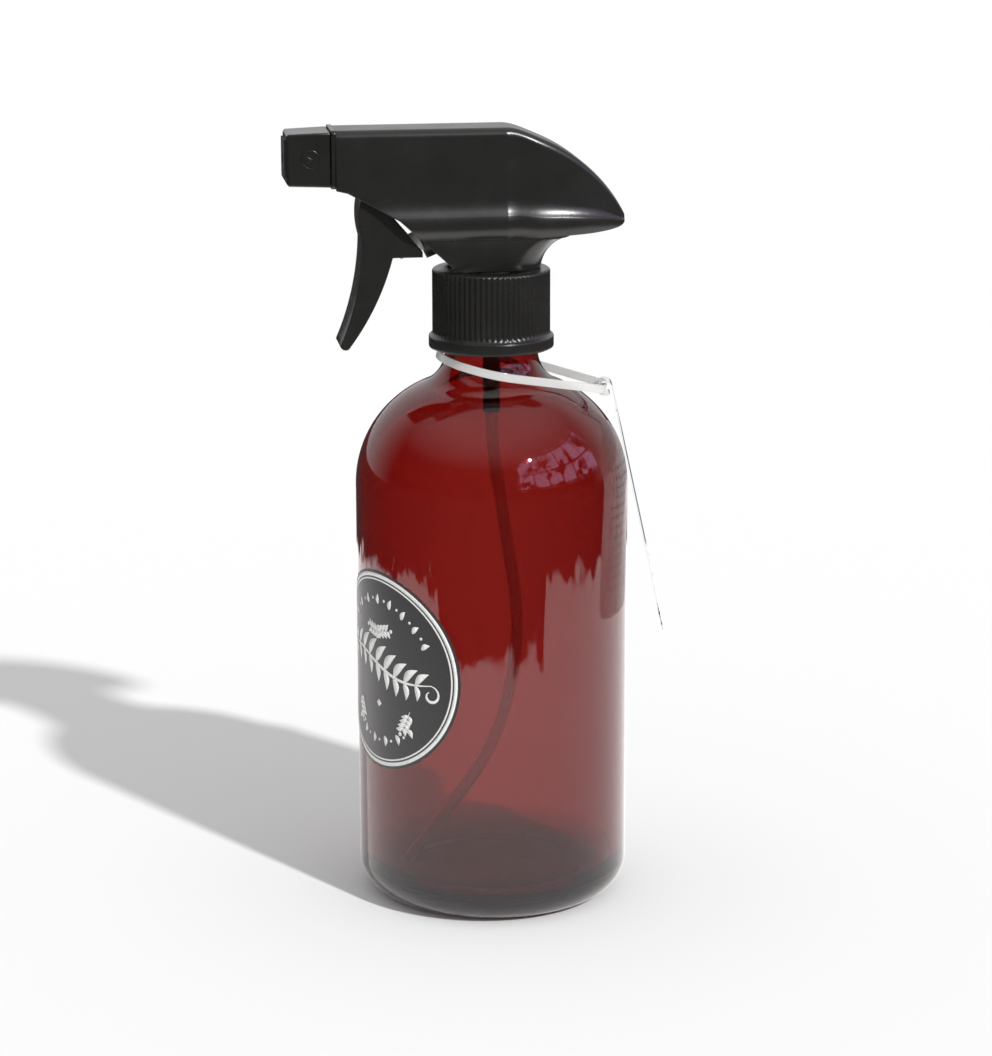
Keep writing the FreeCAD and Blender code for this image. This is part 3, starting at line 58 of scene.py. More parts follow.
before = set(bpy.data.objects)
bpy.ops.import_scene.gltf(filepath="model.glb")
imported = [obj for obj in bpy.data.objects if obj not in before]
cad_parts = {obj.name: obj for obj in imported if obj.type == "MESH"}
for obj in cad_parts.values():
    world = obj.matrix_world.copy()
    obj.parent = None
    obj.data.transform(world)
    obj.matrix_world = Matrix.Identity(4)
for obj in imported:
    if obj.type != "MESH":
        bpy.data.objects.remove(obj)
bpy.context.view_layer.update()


# --- Shader helpers -----------------------------------------
def linear(colour: str) -> Colour:
    """Turn an sRGB hex colour into linear light.

    Args:
        colour: Six hex digits, with or without a leading #.

    Returns:
        Linear red, green, blue and an alpha of one.
    """
    digits = colour.lstrip("#")
    parts = [int(digits[index:index + 2], 16) / 255.0 for index in (0, 2, 4)]
    light = [part / 12.92 if part <= 0.04045 else ((part + 0.055) / 1.055) ** 2.4 for part in parts]
    return (light[0], light[1], light[2], 1.0)


def add_node(tree: Tree, kind: str, values: Values | None = None) -> bpy.types.Node:
    """Add a node, link or set its inputs, and set its properties.

    Args:
        tree: The node tree that gets the node.
        kind: The node's type name.
        values: Input names or numbers, or property names, each with an output socket that feeds
            it or with a plain value.

    Returns:
        The new node.
    """
    node = tree.nodes.new(kind)
    for name, value in (values or {}).items():
        if isinstance(value, Socket):
            tree.links.new(value, node.inputs[name])
        elif isinstance(name, int) or name in node.inputs:
            node.inputs[name].default_value = value
        else:
            setattr(node, name, value)
    return node


def maths(tree: Tree, operation: str, *values: Socket | float) -> Socket:
    """Add a maths node.

    Args:
        tree: The node tree.
        operation: The operation's name.
        values: Its inputs in order.

    Returns:
        The result.
    """
    inputs: Values = {"operation": operation}
    inputs.update(enumerate(values))
    return add_node(tree, "ShaderNodeMath", inputs).outputs[0]


def noise(tree: Tree, place: Socket, size_mm: float, detail: float, rough: float = 0.5) -> Socket:
    """Add cloudy noise.

    Args:
        tree: The node tree.
        place: Coordinates in metres.
        size_mm: Size of its largest features.
        detail: Number of finer layers.
        rough: How strong the finer layers are.

    Returns:
        The noise, from zero to one.
    """
    return add_node(tree, "ShaderNodeTexNoise",
                    {"Vector": place, "Scale": 1 / (size_mm * MM), "Detail": detail,
                     "Roughness": rough}).outputs["Fac"]


def remap(tree: Tree, value: Socket, span: Point2 = (0.0, 1.0),
          onto: Point2 = (0.0, 1.0)) -> Socket:
    """Map a value from one range onto another, clamped at both ends.

    Args:
        tree: The node tree.
        value: What is mapped.
        span: The two ends of its range.
        onto: The results at those ends.

    Returns:
        The mapped value.
    """
    return add_node(tree, "ShaderNodeMapRange",
                    {"Value": value, "From Min": span[0], "From Max": span[1],
                     "To Min": onto[0], "To Max": onto[1]}).outputs["Result"]


def mix(tree: Tree, share: Socket, first: Socket | Colour, last: Socket | Colour) -> Socket:
    """Mix two colours.

    Args:
        tree: The node tree.
        share: How much of the last colour is used.
        first: The colour at zero.
        last: The colour at one.

    Returns:
        The mixed colour.
    """
    return add_node(tree, "ShaderNodeMixRGB",
                    {"Fac": share, "Color1": first, "Color2": last}).outputs["Color"]


def relief(tree: Tree, height: Socket, depth_mm: float, strength: float,
           base: Socket | None = None) -> Socket:
    """Add fine relief to a surface.

    Args:
        tree: The node tree.
        height: The pattern that stands up.
        depth_mm: How deep it is.
        strength: How strongly it turns the surface.
        base: The normal under it, where that isn't the mesh's own.

    Returns:
        The normal.
    """
    values = {"Height": height, "Strength": strength, "Distance": depth_mm * MM}
    if base is not None:
        values["Normal"] = base
    return add_node(tree, "ShaderNodeBump", values).outputs["Normal"]


def new_material(name: str) -> tuple[bpy.types.Material, Tree, Socket]:
    """Make an empty node material.

    Args:
        name: The finish's name.

    Returns:
        The material, its tree, and the object coordinates that its patterns use.
    """
    material = bpy.data.materials.new(name)
    material.use_nodes = True
    tree = material.node_tree
    tree.nodes.clear()
    return material, tree, add_node(tree, "ShaderNodeTexCoord").outputs["Object"]


# --- Finishes -----------------------------------------------
class Gloss(Enum):
    """How a moulding tool was finished, as the roughness that it leaves."""

    SATIN = 0.25
    SMOOTH = 0.21
    MATT = 0.42


@dataclass(frozen=True)
class Finish:
    """A finish with a name; each kind of finish says what its surface and its inside are."""

    name: str

    def surface(self, tree: Tree, place: Socket) -> Values:
        """Work out the surface.

        Args:
            tree: The material's tree.
            place: Coordinates in metres, for the patterns.

        Returns:
            The principled shader's inputs.
        """
        raise NotImplementedError

    def inside(self, tree: Tree) -> Values:
        """Return links for what fills the material: none, unless a kind of finish has some."""
        return {}

    def build(self) -> bpy.types.Material:
        """Make the material.

        Returns:
            The material, with its patterns in object coordinates.
        """
        material, tree, place = new_material(self.name)
        shader = add_node(tree, "ShaderNodeBsdfPrincipled", self.surface(tree, place))
        add_node(tree, "ShaderNodeOutputMaterial",
                 {"Surface": shader.outputs[0], **self.inside(tree)})
        return material


@dataclass(frozen=True)
class MouldedPolypropylene(Finish):
    """Black polypropylene, injection moulded: a soft sheen, faint flow clouds and tool texture."""

    gloss: Gloss
    colour: str = "191918"
    cloud_colour: str = "21211f"
    cloud_mm: float = 9.0
    cloud_roughness: float = 0.55
    gloss_drop: float = 0.05
    gloss_rise: float = 0.07
    texture_mm: float = 0.35
    texture_depth_mm: float = 0.006
    texture_strength: float = 0.5
    edge_mm: float = 0.5
    ior: float = 1.49

    def surface(self, tree: Tree, place: Socket) -> Values:
        """Give it clouds in colour and gloss, a fine tool texture and softened edges.

        Args:
            tree: The material's tree.
            place: Coordinates in metres.

        Returns:
            The principled shader's inputs.
        """
        clouds = noise(tree, place, self.cloud_mm, 4.0, self.cloud_roughness)
        texture = noise(tree, place, self.texture_mm, 2.0)
        edge = add_node(tree, "ShaderNodeBevel", {"samples": 4, "Radius": self.edge_mm * MM})
        gloss = self.gloss.value
        return {
            "Base Color": mix(tree, clouds, linear(self.colour), linear(self.cloud_colour)),
            "Roughness": remap(tree, clouds,
                               onto=(gloss - self.gloss_drop, gloss + self.gloss_rise)),
            "Normal": relief(tree, texture, self.texture_depth_mm, self.texture_strength,
                             edge.outputs["Normal"]),
            "IOR": self.ior}


@dataclass(frozen=True)
class BlownAmberGlass(Finish):
    """Soda-lime glass, blown and coloured right through: dark where it is thick, clear gloss."""

    name: str = "blown_amber_glass"
    absorbed: Colour = (0.70, 0.10, 0.045, 1.0)
    density_per_m: float = 830.0
    wave_mm: float = 34.0
    wave_depth_mm: float = 0.22
    wave_strength: float = 0.35
    smear_share: float = 0.45
    smear_roughness: float = 0.035
    ior: float = 1.52

    def surface(self, tree: Tree, place: Socket) -> Values:
        """Give it a clear surface with the slow waves of blown glass and a faint smear.

        Args:
            tree: The material's tree.
            place: Coordinates in metres.

        Returns:
            The principled shader's inputs.
        """
        waves = noise(tree, place, self.wave_mm, 1.0)
        smear = noise(tree, place, self.smear_share * self.wave_mm, 5.0)
        return {
            "Base Color": (1.0, 1.0, 1.0, 1.0), "Transmission Weight": 1.0, "IOR": self.ior,
            "Roughness": remap(tree, smear, onto=(0.0, self.smear_roughness)),
            "Normal": relief(tree, waves, self.wave_depth_mm, self.wave_strength)}

    def inside(self, tree: Tree) -> Values:
        """Tint the glass all the way through.

        Args:
            tree: The material's tree.

        Returns:
            The material's volume.
        """
        tint = add_node(tree, "ShaderNodeVolumeAbsorption",
                        {"Color": self.absorbed, "Density": self.density_per_m})
        return {"Volume": tint.outputs[0]}


@dataclass(frozen=True)
class PrintedFilm(Finish):
    """Polypropylene label film, offset printed: even ink with faint mottle and a low sheen."""

    ink: str
    worn_ink: str
    roughness: float
    speck_mm: float
    wear: float
    wear_span: Point2 = (0.55, 0.7)
    sheen_drop: float = 0.06
    sheen_rise: float = 0.08
    ink_depth_mm: float = 0.004
    ink_strength: float = 0.25
    ior: float = 1.49

    def surface(self, tree: Tree, place: Socket) -> Values:
        """Give it ink broken up by specks, with a slightly uneven sheen.

        Args:
            tree: The material's tree.
            place: Coordinates in metres.

        Returns:
            The principled shader's inputs.
        """
        specks = noise(tree, place, self.speck_mm, 3.0)
        worn = remap(tree, specks, self.wear_span, (0.0, self.wear))
        return {
            "Base Color": mix(tree, worn, linear(self.ink), linear(self.worn_ink)),
            "Roughness": remap(tree, specks, onto=(self.roughness - self.sheen_drop,
                                                   self.roughness + self.sheen_rise)),
            "Normal": relief(tree, specks, self.ink_depth_mm, self.ink_strength),
            "IOR": self.ior}


@dataclass(frozen=True)
class ClearPlastic(Finish):
    """Plastic that lets light through, extruded or moulded: haze, faint streaks and soft edges."""

    colour: str
    transmission: float
    roughness: float
    streak_mm: float
    streak_depth_mm: float
    ior: float = 1.5
    clear_share: float = 0.6
    hazy_share: float = 1.4
    streak_strength: float = 0.4

    def surface(self, tree: Tree, place: Socket) -> Values:
        """Give it streaks in gloss and relief over a see-through body.

        Args:
            tree: The material's tree.
            place: Coordinates in metres.

        Returns:
            The principled shader's inputs.
        """
        streaks = noise(tree, place, self.streak_mm, 3.0)
        return {
            "Base Color": linear(self.colour), "Transmission Weight": self.transmission,
            "IOR": self.ior,
            "Roughness": remap(tree, streaks, onto=(self.roughness * self.clear_share,
                                                    self.roughness * self.hazy_share)),
            "Normal": relief(tree, streaks, self.streak_depth_mm, self.streak_strength)}


@dataclass(frozen=True)
class MouldedRubber(Finish):
    """Nitrile rubber, compression moulded: dull and dark, with a powdery grain."""

    colour: str
    bloom: str
    grain_mm: float = 0.3
    grain_depth_mm: float = 0.01
    grain_strength: float = 0.4
    roughness: float = 0.62
    ior: float = 1.5

    def surface(self, tree: Tree, place: Socket) -> Values:
        """Give it a pale bloom in patches over a fine grain.

        Args:
            tree: The material's tree.
            place: Coordinates in metres.

        Returns:
            The principled shader's inputs.
        """
        grain = noise(tree, place, self.grain_mm, 4.0)
        return {
            "Base Color": mix(tree, grain, linear(self.colour), linear(self.bloom)),
            "Roughness": self.roughness, "IOR": self.ior,
            "Normal": relief(tree, grain, self.grain_depth_mm, self.grain_strength)}


@dataclass(frozen=True)
class DrawnSteel(Finish):
    """Stainless steel, drawn or ground: bright metal with fine lines along its length."""

    colour: str
    roughness: float
    line_mm: float = 0.15
    bright_share: float = 0.7
    dull_share: float = 1.5

    def surface(self, tree: Tree, place: Socket) -> Values:
        """Give it a metal gloss that varies in fine lines.

        Args:
            tree: The material's tree.
            place: Coordinates in metres.

        Returns:
            The principled shader's inputs.
        """
        lines = noise(tree, place, self.line_mm, 2.0)
        return {
            "Base Color": linear(self.colour), "Metallic": 1.0,
            "Roughness": remap(tree, lines, onto=(self.roughness * self.bright_share,
                                                  self.roughness * self.dull_share))}


# --- Mesh helpers -------------------------------------------
def polar(radius: float, angle: float, centre: Point2 = (0.0, 0.0)) -> Point2:
    """Return the point at a distance and an angle in radians from a centre."""
    return (centre[0] + radius * math.cos(angle), centre[1] + radius * math.sin(angle))


def circle(radius: float, sides: int, centre: Point2 = (0.0, 0.0)) -> list[Point2]:
    """Return evenly spaced points round a centre."""
    return [polar(radius, TURN * side / sides, centre) for side in range(sides)]


def arc(centre: Point2, radius: float, start_deg: float, end_deg: float,
        steps: int) -> list[Point2]:
    """Sample an arc.

    Args:
        centre: The arc's centre.
        radius: Its radius.
        start_deg: Angle of the first point.
        end_deg: Angle of the last point.
        steps: Number of spans.

    Returns:
        The points from start to end, both included.
    """
    return [polar(radius, math.radians(start_deg + (end_deg - start_deg) * step / steps), centre)
            for step in range(steps + 1)]


def between(first: Point2, last: Point2, steps: int) -> list[Point2]:
    """Return the points inside a straight span, without its two ends."""
    return [(first[0] + (last[0] - first[0]) * step / steps,
             first[1] + (last[1] - first[1]) * step / steps) for step in range(1, steps)]


def bridge(mesh: bmesh.types.BMesh, low: Sequence[bmesh.types.BMVert],
           high: Sequence[bmesh.types.BMVert], closed: bool = True) -> None:
    """Join two lines of corners with faces.

    Args:
        mesh: The mesh that they are in.
        low: One line.
        high: The other, with as many corners; either may be a single pole.
        closed: Whether the lines join up.
    """
    count = max(len(low), len(high))
    for step in range(count if closed else count - 1):
        corners = [line[place % len(line)] for line, place in
                   ((low, step), (low, (step + 1) % count), (high, (step + 1) % count),
                    (high, step))]
        mesh.faces.new(list(dict.fromkeys(corners)))


def revolve(profile: Sequence[Point2], segments: int, closed: bool,
            swell: Callable[[float, float, float], float]) -> bmesh.types.BMesh:
    """Turn a profile about the Z axis.

    Args:
        profile: (radius, height) points in mm; a radius of zero makes a pole.
        segments: Number of steps round the axis.
        closed: Whether the last point joins the first.
        swell: Change of radius in mm, from angle, radius and height.

    Returns:
        A mesh with outward faces, in metres.
    """
    mesh = bmesh.new()
    rings: list[list[bmesh.types.BMVert]] = []
    for radius, height in profile:
        if radius == 0.0:
            rings.append([mesh.verts.new((0.0, 0.0, height * MM))])
            continue
        ring = []
        for step in range(segments):
            angle = TURN * step / segments
            x, y = polar((radius + swell(angle, radius, height)) * MM, angle)
            ring.append(mesh.verts.new((x, y, height * MM)))
        rings.append(ring)
    for low, high in zip(rings, rings[1:] + rings[:1] if closed else rings[1:]):
        bridge(mesh, low, high)
    bmesh.ops.recalc_face_normals(mesh, faces=mesh.faces)
    return mesh


def tube(mesh: bmesh.types.BMesh, points: Sequence[Vector], radius: float, closed: bool,
         sides: int = 8) -> None:
    """Sweep a circle along points.

    Args:
        mesh: The mesh that gets the closed tube.
        points: Centres of the sections.
        radius: Radius of the tube.
        closed: Whether the tube joins up; otherwise its ends are capped.
        sides: Sides of the section.
    """
    count = len(points)
    rings = []
    side = None
    for index, point in enumerate(points):
        after = points[(index + 1) % count] if closed or index < count - 1 else point
        before = points[index - 1] if closed or index > 0 else point
        along = (after - before).normalized()
        side = along.orthogonal() if side is None else side - along * side.dot(along)
        side.normalize()
        other = along.cross(side)
        rings.append([mesh.verts.new(point + side * x + other * y)
                      for x, y in circle(radius, sides)])
    for low, high in zip(rings, rings[1:] + rings[:1] if closed else rings[1:]):
        bridge(mesh, low, high)
    if not closed:
        mesh.faces.new(rings[0])
        mesh.faces.new(rings[-1])
    bmesh.ops.recalc_face_normals(mesh, faces=mesh.faces)


def add_object(name: str, mesh: bmesh.types.BMesh,
               material: bpy.types.Material) -> bpy.types.Object:
    """Put a mesh in the scene.

    Args:
        name: The object's name.
        mesh: Its mesh, which is freed.
        material: Its finish.

    Returns:
        The new object.
    """
    data = bpy.data.meshes.new(name)
    mesh.to_mesh(data)
    mesh.free()
    data.materials.append(material)
    made = bpy.data.objects.new(name, data)
    bpy.context.scene.collection.objects.link(made)
    return made


def make_piece(name: str, mesh: bmesh.types.BMesh, material: bpy.types.Material, body: str,
               replaces: Iterable[str] = (),
               sharp_deg: float = 40.0) -> bpy.types.Object:
    """Turn a mesh into a shaded piece that rides on a body.

    Args:
        name: The piece's name.
        mesh: Its mesh, which is freed.
        material: Its finish.
        body: The body it moves with.
        replaces: CAD nodes that it stands for.
        sharp_deg: Edges sharper than this stay crisp.

    Returns:
        The new object.
    """
    limit = math.radians(sharp_deg)
    for face in mesh.faces:
        face.smooth = True
    for edge in mesh.edges:
        if len(edge.link_faces) == 2 and edge.calc_face_angle(0.0) > limit:
            edge.smooth = False
    piece = add_object(name, mesh, material)
    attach(piece, body)
    if replaces:
        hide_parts(*replaces)
    log.info("%s: %d faces on %s", name, len(piece.data.polygons), body)
    return piece


def thicken(piece: bpy.types.Object, depth_mm: float) -> None:
    """Give a sheet its thickness, inwards.

    Args:
        piece: The sheet.
        depth_mm: Its thickness.
    """
    solid = piece.modifiers.new("thickness", "SOLIDIFY")
    solid.thickness = depth_mm * MM
    solid.offset = -1.0


def round_edges(node: str, width_mm: float, merge_mm: float = 0.001,
                sharp_deg: float = 35.0) -> None:
    """Round the sharp edges of a CAD node.

    Args:
        node: The node's name.
        width_mm: Width of the rounding.
        merge_mm: Corners nearer than this are joined first.
        sharp_deg: Edges sharper than this are rounded.
    """
    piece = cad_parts[node]
    join = piece.modifiers.new("join", "WELD")
    join.merge_threshold = merge_mm * MM
    bevel = piece.modifiers.new("rounding", "BEVEL")
    bevel.width = width_mm * MM
    bevel.segments = 3
    bevel.limit_method = "ANGLE"
    bevel.angle_limit = math.radians(sharp_deg)
    bevel.use_clamp_overlap = True
    bevel.harden_normals = True


def dress(material: bpy.types.Material, *nodes: str) -> None:
    """Give CAD nodes their finish.

    Args:
        material: The finish.
        nodes: The nodes' names.
    """
    for node in nodes:
        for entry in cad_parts[node].material_slots:
            entry.material = material
        log.info("%s: dressed in %s", node, material.name)


# --- Bottle -------------------------------------------------
@dataclass
class Bottle:
    """Round-shouldered glass bottle with a heavy foot and a threaded finish."""

    straight_mm: float = 117.0
    heel_mm: float = 9.8
    shoulder_mm: float = 30.4
    throat_mm: float = 10.0
    neck_mm: float = 12.7
    wall_mm: float = 3.1
    floor_mm: float = 6.2
    bowl_mm: float = 7.5
    push_up_mm: float = 2.0
    push_up_radius_mm: float = 25.0
    push_up_steps: int = 12
    rim_mm: float = 0.7
    thread_start_mm: float = 161.2
    thread_pitch_mm: float = 4.233
    thread_turns: float = 1.25
    thread_height_mm: float = 1.1
    thread_root_mm: float = 2.1
    thread_lead_mm: float = 3.0
    run_out_turns: float = 0.04
    near_mm: float = 0.01
    segments: int = 240

    def profile(self) -> list[Point2]:
        """Draw the section of the glass, from the foot's centre over the mouth to the inner floor.

        Returns:
            (radius, height) points in mm.
        """
        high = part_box("bottle")[1]
        radius, mouth = high.y / MM, high.z / MM
        centre = (radius - self.shoulder_mm, self.straight_mm)
        reach = self.shoulder_mm + self.throat_mm
        across = self.neck_mm + self.throat_mm - centre[0]
        rise = math.sqrt(reach * reach - across * across)
        throat = (self.neck_mm + self.throat_mm, self.straight_mm + rise)
        meet = math.degrees(math.atan2(rise, across))
        bore = self.neck_mm - self.wall_mm
        inner = radius - self.wall_mm
        heel = (radius - self.heel_mm, self.heel_mm)
        bowl = (inner - self.bowl_mm, self.floor_mm + self.bowl_mm)
        lip = mouth - self.rim_mm
        shares = [step / self.push_up_steps for step in range(self.push_up_steps + 1)]
        points = [(self.push_up_radius_mm * share, self.push_up_mm * (1 - share ** 2))
                  for share in shares]
        points += arc(heel, self.heel_mm, -90, 0, steps=20)
        points += between((radius, self.heel_mm), (radius, self.straight_mm), steps=12)
        points += arc(centre, self.shoulder_mm, 0, meet, steps=40)
        points += arc(throat, self.throat_mm, 180 + meet, 180, steps=16)[1:]
        points += between((self.neck_mm, throat[1]), (self.neck_mm, lip), steps=44)
        points += arc((self.neck_mm - self.rim_mm, lip), self.rim_mm, 0, 90, steps=6)
        points += arc((bore + self.rim_mm, lip), self.rim_mm, 90, 180, steps=6)
        points += between((bore, lip), (bore, throat[1]), steps=6)
        points += arc(throat, self.throat_mm + self.wall_mm, 180, 180 + meet, steps=18)
        points += arc(centre, self.shoulder_mm - self.wall_mm, meet, 0, steps=36)[1:]
        points += between((inner, self.straight_mm), (inner, bowl[1]), steps=12)
        points += arc(bowl, self.bowl_mm, 0, -90, steps=16)
        points += between((bowl[0], self.floor_mm), (0.0, self.floor_mm), steps=6)
        return points + [(0.0, self.floor_mm)]

    def thread(self, angle: float, radius: float, height: float) -> float:
        """Raise the screw thread on the neck.

        Args:
            angle: Angle round the axis.
            radius: Radius of the plain section, in mm.
            height: Height over the foot, in mm.

        Returns:
            How far the thread stands off the neck there, in mm.
        """
        if abs(radius - self.neck_mm) > self.near_mm:
            return 0.0
        if height < self.thread_start_mm - self.thread_lead_mm:
            return 0.0
        grown = 0.0
        for turn in (0.0, 1.0):
            turns = angle / TURN + turn
            if turns > self.thread_turns:
                continue
            centre = self.thread_start_mm + self.thread_pitch_mm * turns
            off = abs(height - centre) / (self.thread_root_mm / 2)
            fade = min(1.0, turns / self.run_out_turns,
                       (self.thread_turns - turns) / self.run_out_turns)
            grown = max(grown, self.thread_height_mm * min(1.0, 2 * max(0.0, 1 - off)) * fade)
        return grown

    def build(self) -> None:
        """Blow the bottle and colour it."""
        mesh = revolve(self.profile(), self.segments, False, self.thread)
        make_piece("bottle_glass", mesh, BlownAmberGlass().build(), "root",
                   ["bottle"])


@dataclass
class WrappedLabel:
    """Round black label on the glass, with two white rings, leaf sprigs and small ornaments.

    The artwork is drawn flat, in mm from the label's centre, and then laid on the glass.
    """

    turn_deg: float = 206.6
    radius_mm: float = 27.8
    film_mm: float = 0.105
    glue_mm: float = 0.015
    ink_mm: float = 0.03
    film_rings: int = 27
    film_sides: int = 120
    ring_sides: int = 180
    rings_mm: tuple[Point2, ...] = ((26.0, 27.0), (25.1, 25.55))
    leaf_steps: int = 10
    leaf_fullness: float = 0.8
    leaf_bow: float = 0.12
    leaf_tip_mm: float = 0.02
    stroke_tip: float = 0.25
    sprig_half_mm: float = 19.5
    sprig_rise_mm: float = 1.4
    sprig_slope: float = 0.13
    sprig_wave_mm: float = 1.6
    sprig_steps: int = 60
    sprig_line_mm: float = 0.95
    curls: tuple[tuple[Point2, float], ...] = (((19.2, -3.9), 90.0), ((-19.2, 6.6), 270.0))
    curl_mm: float = 2.7
    curl_steps: int = 40
    curl_step_deg: float = 8.5
    curl_close: float = 0.016
    curl_line_mm: float = 0.8
    border_mm: float = 20.0
    border_dot_mm: float = 0.42
    border_leaf_mm: Point2 = (3.0, 1.5)
    borders: tuple[tuple[float, float, int], ...] = ((152.0, 28.0, 17), (232.0, 308.0, 11))
    small_sprigs: tuple[tuple[Point2, float], ...] = (
        ((-2.2, 10.2), 12.0), ((2.2, 10.2), 168.0), ((-12.5, -9.5), -62.0), ((12.5, -9.5), -118.0))
    stem_step_mm: float = 0.7
    stem_steps: int = 10
    stem_line_mm: float = 0.4
    stem_leaf_mm: Point2 = (2.6, 1.3)
    stem_leaf_deg: float = 48.0
    berry_mm: float = 0.6
    berry_gap_mm: float = 0.9
    diamond: tuple[Point2, float] = ((0.0, -9.5), 1.1)

    def __post_init__(self) -> None:
        """Read the glass radius and the label's height from the frame."""
        low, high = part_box("label")
        self.centre_z: float = (low.z + high.z) / 2
        self.glass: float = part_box("bottle")[1].y
        self.artwork: bmesh.types.BMesh = bmesh.new()

    def wrap(self, place: Point2, lift_mm: float) -> Vector:
        """Lay a point of the flat artwork on the bottle.

        Args:
            place: Distances to the right of the label's centre and above it.
            lift_mm: Height over the glass.

        Returns:
            The point in the frame.
        """
        angle = math.radians(self.turn_deg) + place[0] * MM / self.glass
        x, y = polar(self.glass + lift_mm * MM, angle)
        return Vector((x, y, self.centre_z + place[1] * MM))

    def ink(self, place: Point2) -> bmesh.types.BMVert:
        """Return a new corner of the artwork."""
        return self.artwork.verts.new(self.wrap(place, self.film_mm + self.ink_mm))

    def strip(self, left: Sequence[Point2], right: Sequence[Point2], closed: bool = False) -> None:
        """Ink the band between two lines of points.

        Args:
            left: One edge of the band.
            right: The other edge, with as many points.
            closed: Whether the band joins up.
        """
        edges = [[self.ink(place) for place in line] for line in (left, right)]
        bridge(self.artwork, *edges, closed)

    def ring(self, inner: float, outer: float) -> None:
        """Ink a full ring.

        Args:
            inner: Its inner radius.
            outer: Its outer radius.
        """
        self.strip(circle(outer, self.ring_sides), circle(inner, self.ring_sides), True)

    def dot(self, centre: Point2, size: float, sides: int = 16) -> None:
        """Ink a dot, or a diamond where it has four sides.

        Args:
            centre: Its centre.
            size: Its radius.
            sides: Its sides.
        """
        self.artwork.faces.new([self.ink(place) for place in circle(size, sides, centre)])

    def leaf(self, root: Point2, angle_deg: float, length: float, width: float) -> None:
        """Ink a pointed, slightly bowed leaf.

        Args:
            root: Where the leaf starts.
            angle_deg: The way it points.
            length: Its length.
            width: Its greatest width.
        """
        angle = math.radians(angle_deg)
        ahead, aside = polar(1.0, angle), (-math.sin(angle), math.cos(angle))
        left, right = [], []
        for step in range(self.leaf_steps + 1):
            share = step / self.leaf_steps
            half = width / 2 * math.sin(math.pi * share ** self.leaf_fullness) + self.leaf_tip_mm
            bow = self.leaf_bow * length * math.sin(math.pi * share)
            x = root[0] + ahead[0] * length * share + aside[0] * bow
            y = root[1] + ahead[1] * length * share + aside[1] * bow
            left.append((x + aside[0] * half, y + aside[1] * half))
            right.append((x - aside[0] * half, y - aside[1] * half))
        self.strip(left, right)

    def stroke(self, line: Sequence[Point2], width: float) -> None:
        """Ink a pen stroke that swells in its middle and thins out at its ends.

        Args:
            line: The stroke's middle line.
            width: Its greatest width.
        """
        left, right = [], []
        last = len(line) - 1
        for index, (x, y) in enumerate(line):
            ahead = line[min(index + 1, last)]
            behind = line[max(index - 1, 0)]
            step_x, step_y = ahead[0] - behind[0], ahead[1] - behind[1]
            span = math.hypot(step_x, step_y)
            swell = (1 - self.stroke_tip) * math.sin(math.pi * index / last)
            half = width / 2 * (self.stroke_tip + swell)
            left.append((x - step_y / span * half, y + step_x / span * half))
            right.append((x + step_y / span * half, y - step_x / span * half))
        self.strip(left, right)

    def centre_sprig(self) -> None:
        """Ink the large waving sprig across the middle, with a curl at each end."""
        steps, half = self.sprig_steps, self.sprig_half_mm
        line = []
        for step in range(steps + 1):
            x = -half + 2 * half * step / steps
            wave = self.sprig_wave_mm * math.sin(TURN * step / steps)
            line.append((x, self.sprig_rise_mm - self.sprig_slope * x + wave))
        self.stroke(line, self.sprig_line_mm)
        # Leaves stand in pairs, largest in the middle, and lean over towards the right end.
        for index in range(4, steps - 2, 6):
            reach = 0.65 + 0.35 * math.sin(math.pi * index / steps)
            self.leaf(line[index], 58 - index * 0.35, 7.2 * reach, 2.5 * reach)
            self.leaf(line[index], -72 - index * 0.2, 5.6 * reach, 2.1 * reach)
        for centre, start_deg in self.curls:
            self.stroke([polar(self.curl_mm * (1 - self.curl_close * step),
                               math.radians(start_deg - self.curl_step_deg * step), centre)
                         for step in range(self.curl_steps)], self.curl_line_mm)

    def border_row(self, start_deg: float, end_deg: float, count: int) -> None:
        """Ink a bent row of leaves and dots inside the rings.

        Args:
            start_deg: Angle of the first one.
            end_deg: Angle of the last one.
            count: How many there are.
        """
        length, width = self.border_leaf_mm
        for index in range(count):
            angle = math.radians(start_deg + (end_deg - start_deg) * index / (count - 1))
            if index % 2:
                self.dot(polar(self.border_mm, angle), self.border_dot_mm)
            else:
                self.leaf(polar(self.border_mm - length / 2, angle), math.degrees(angle), length,
                          width)

    def small_sprig(self, root: Point2, angle_deg: float) -> None:
        """Ink a small sprig: a stem, paired leaves and a berry.

        Args:
            root: Where the stem starts.
            angle_deg: The way it points.
        """
        angle = math.radians(angle_deg)
        line = [polar(self.stem_step_mm * step, angle, root)
                for step in range(self.stem_steps + 1)]
        self.stroke(line, self.stem_line_mm)
        for place in line[2:-1:2]:
            for lean in (self.stem_leaf_deg, -self.stem_leaf_deg):
                self.leaf(place, angle_deg + lean, *self.stem_leaf_mm)
        self.dot(polar(self.berry_gap_mm, angle, line[-1]), self.berry_mm)

    def lay_film(self) -> None:
        """Cut the round film and lay it on the glass."""
        film = bmesh.new()
        rings = []
        for step in range(1, self.film_rings + 1):
            radius = self.radius_mm * math.sin(math.pi / 2 * step / self.film_rings)
            rings.append([film.verts.new(self.wrap(place, self.film_mm))
                          for place in circle(radius, self.film_sides)])
        film.faces.new(rings[0])
        for inner, outer in zip(rings, rings[1:]):
            bridge(film, outer, inner)
        bmesh.ops.recalc_face_normals(film, faces=film.faces)
        black = PrintedFilm("black_ink_on_film", "202121", "2f3030", 0.34, 0.5, 0.8).build()
        sheet = make_piece("label_film", film, black, "root", ["label"])
        thicken(sheet, self.film_mm - self.glue_mm)

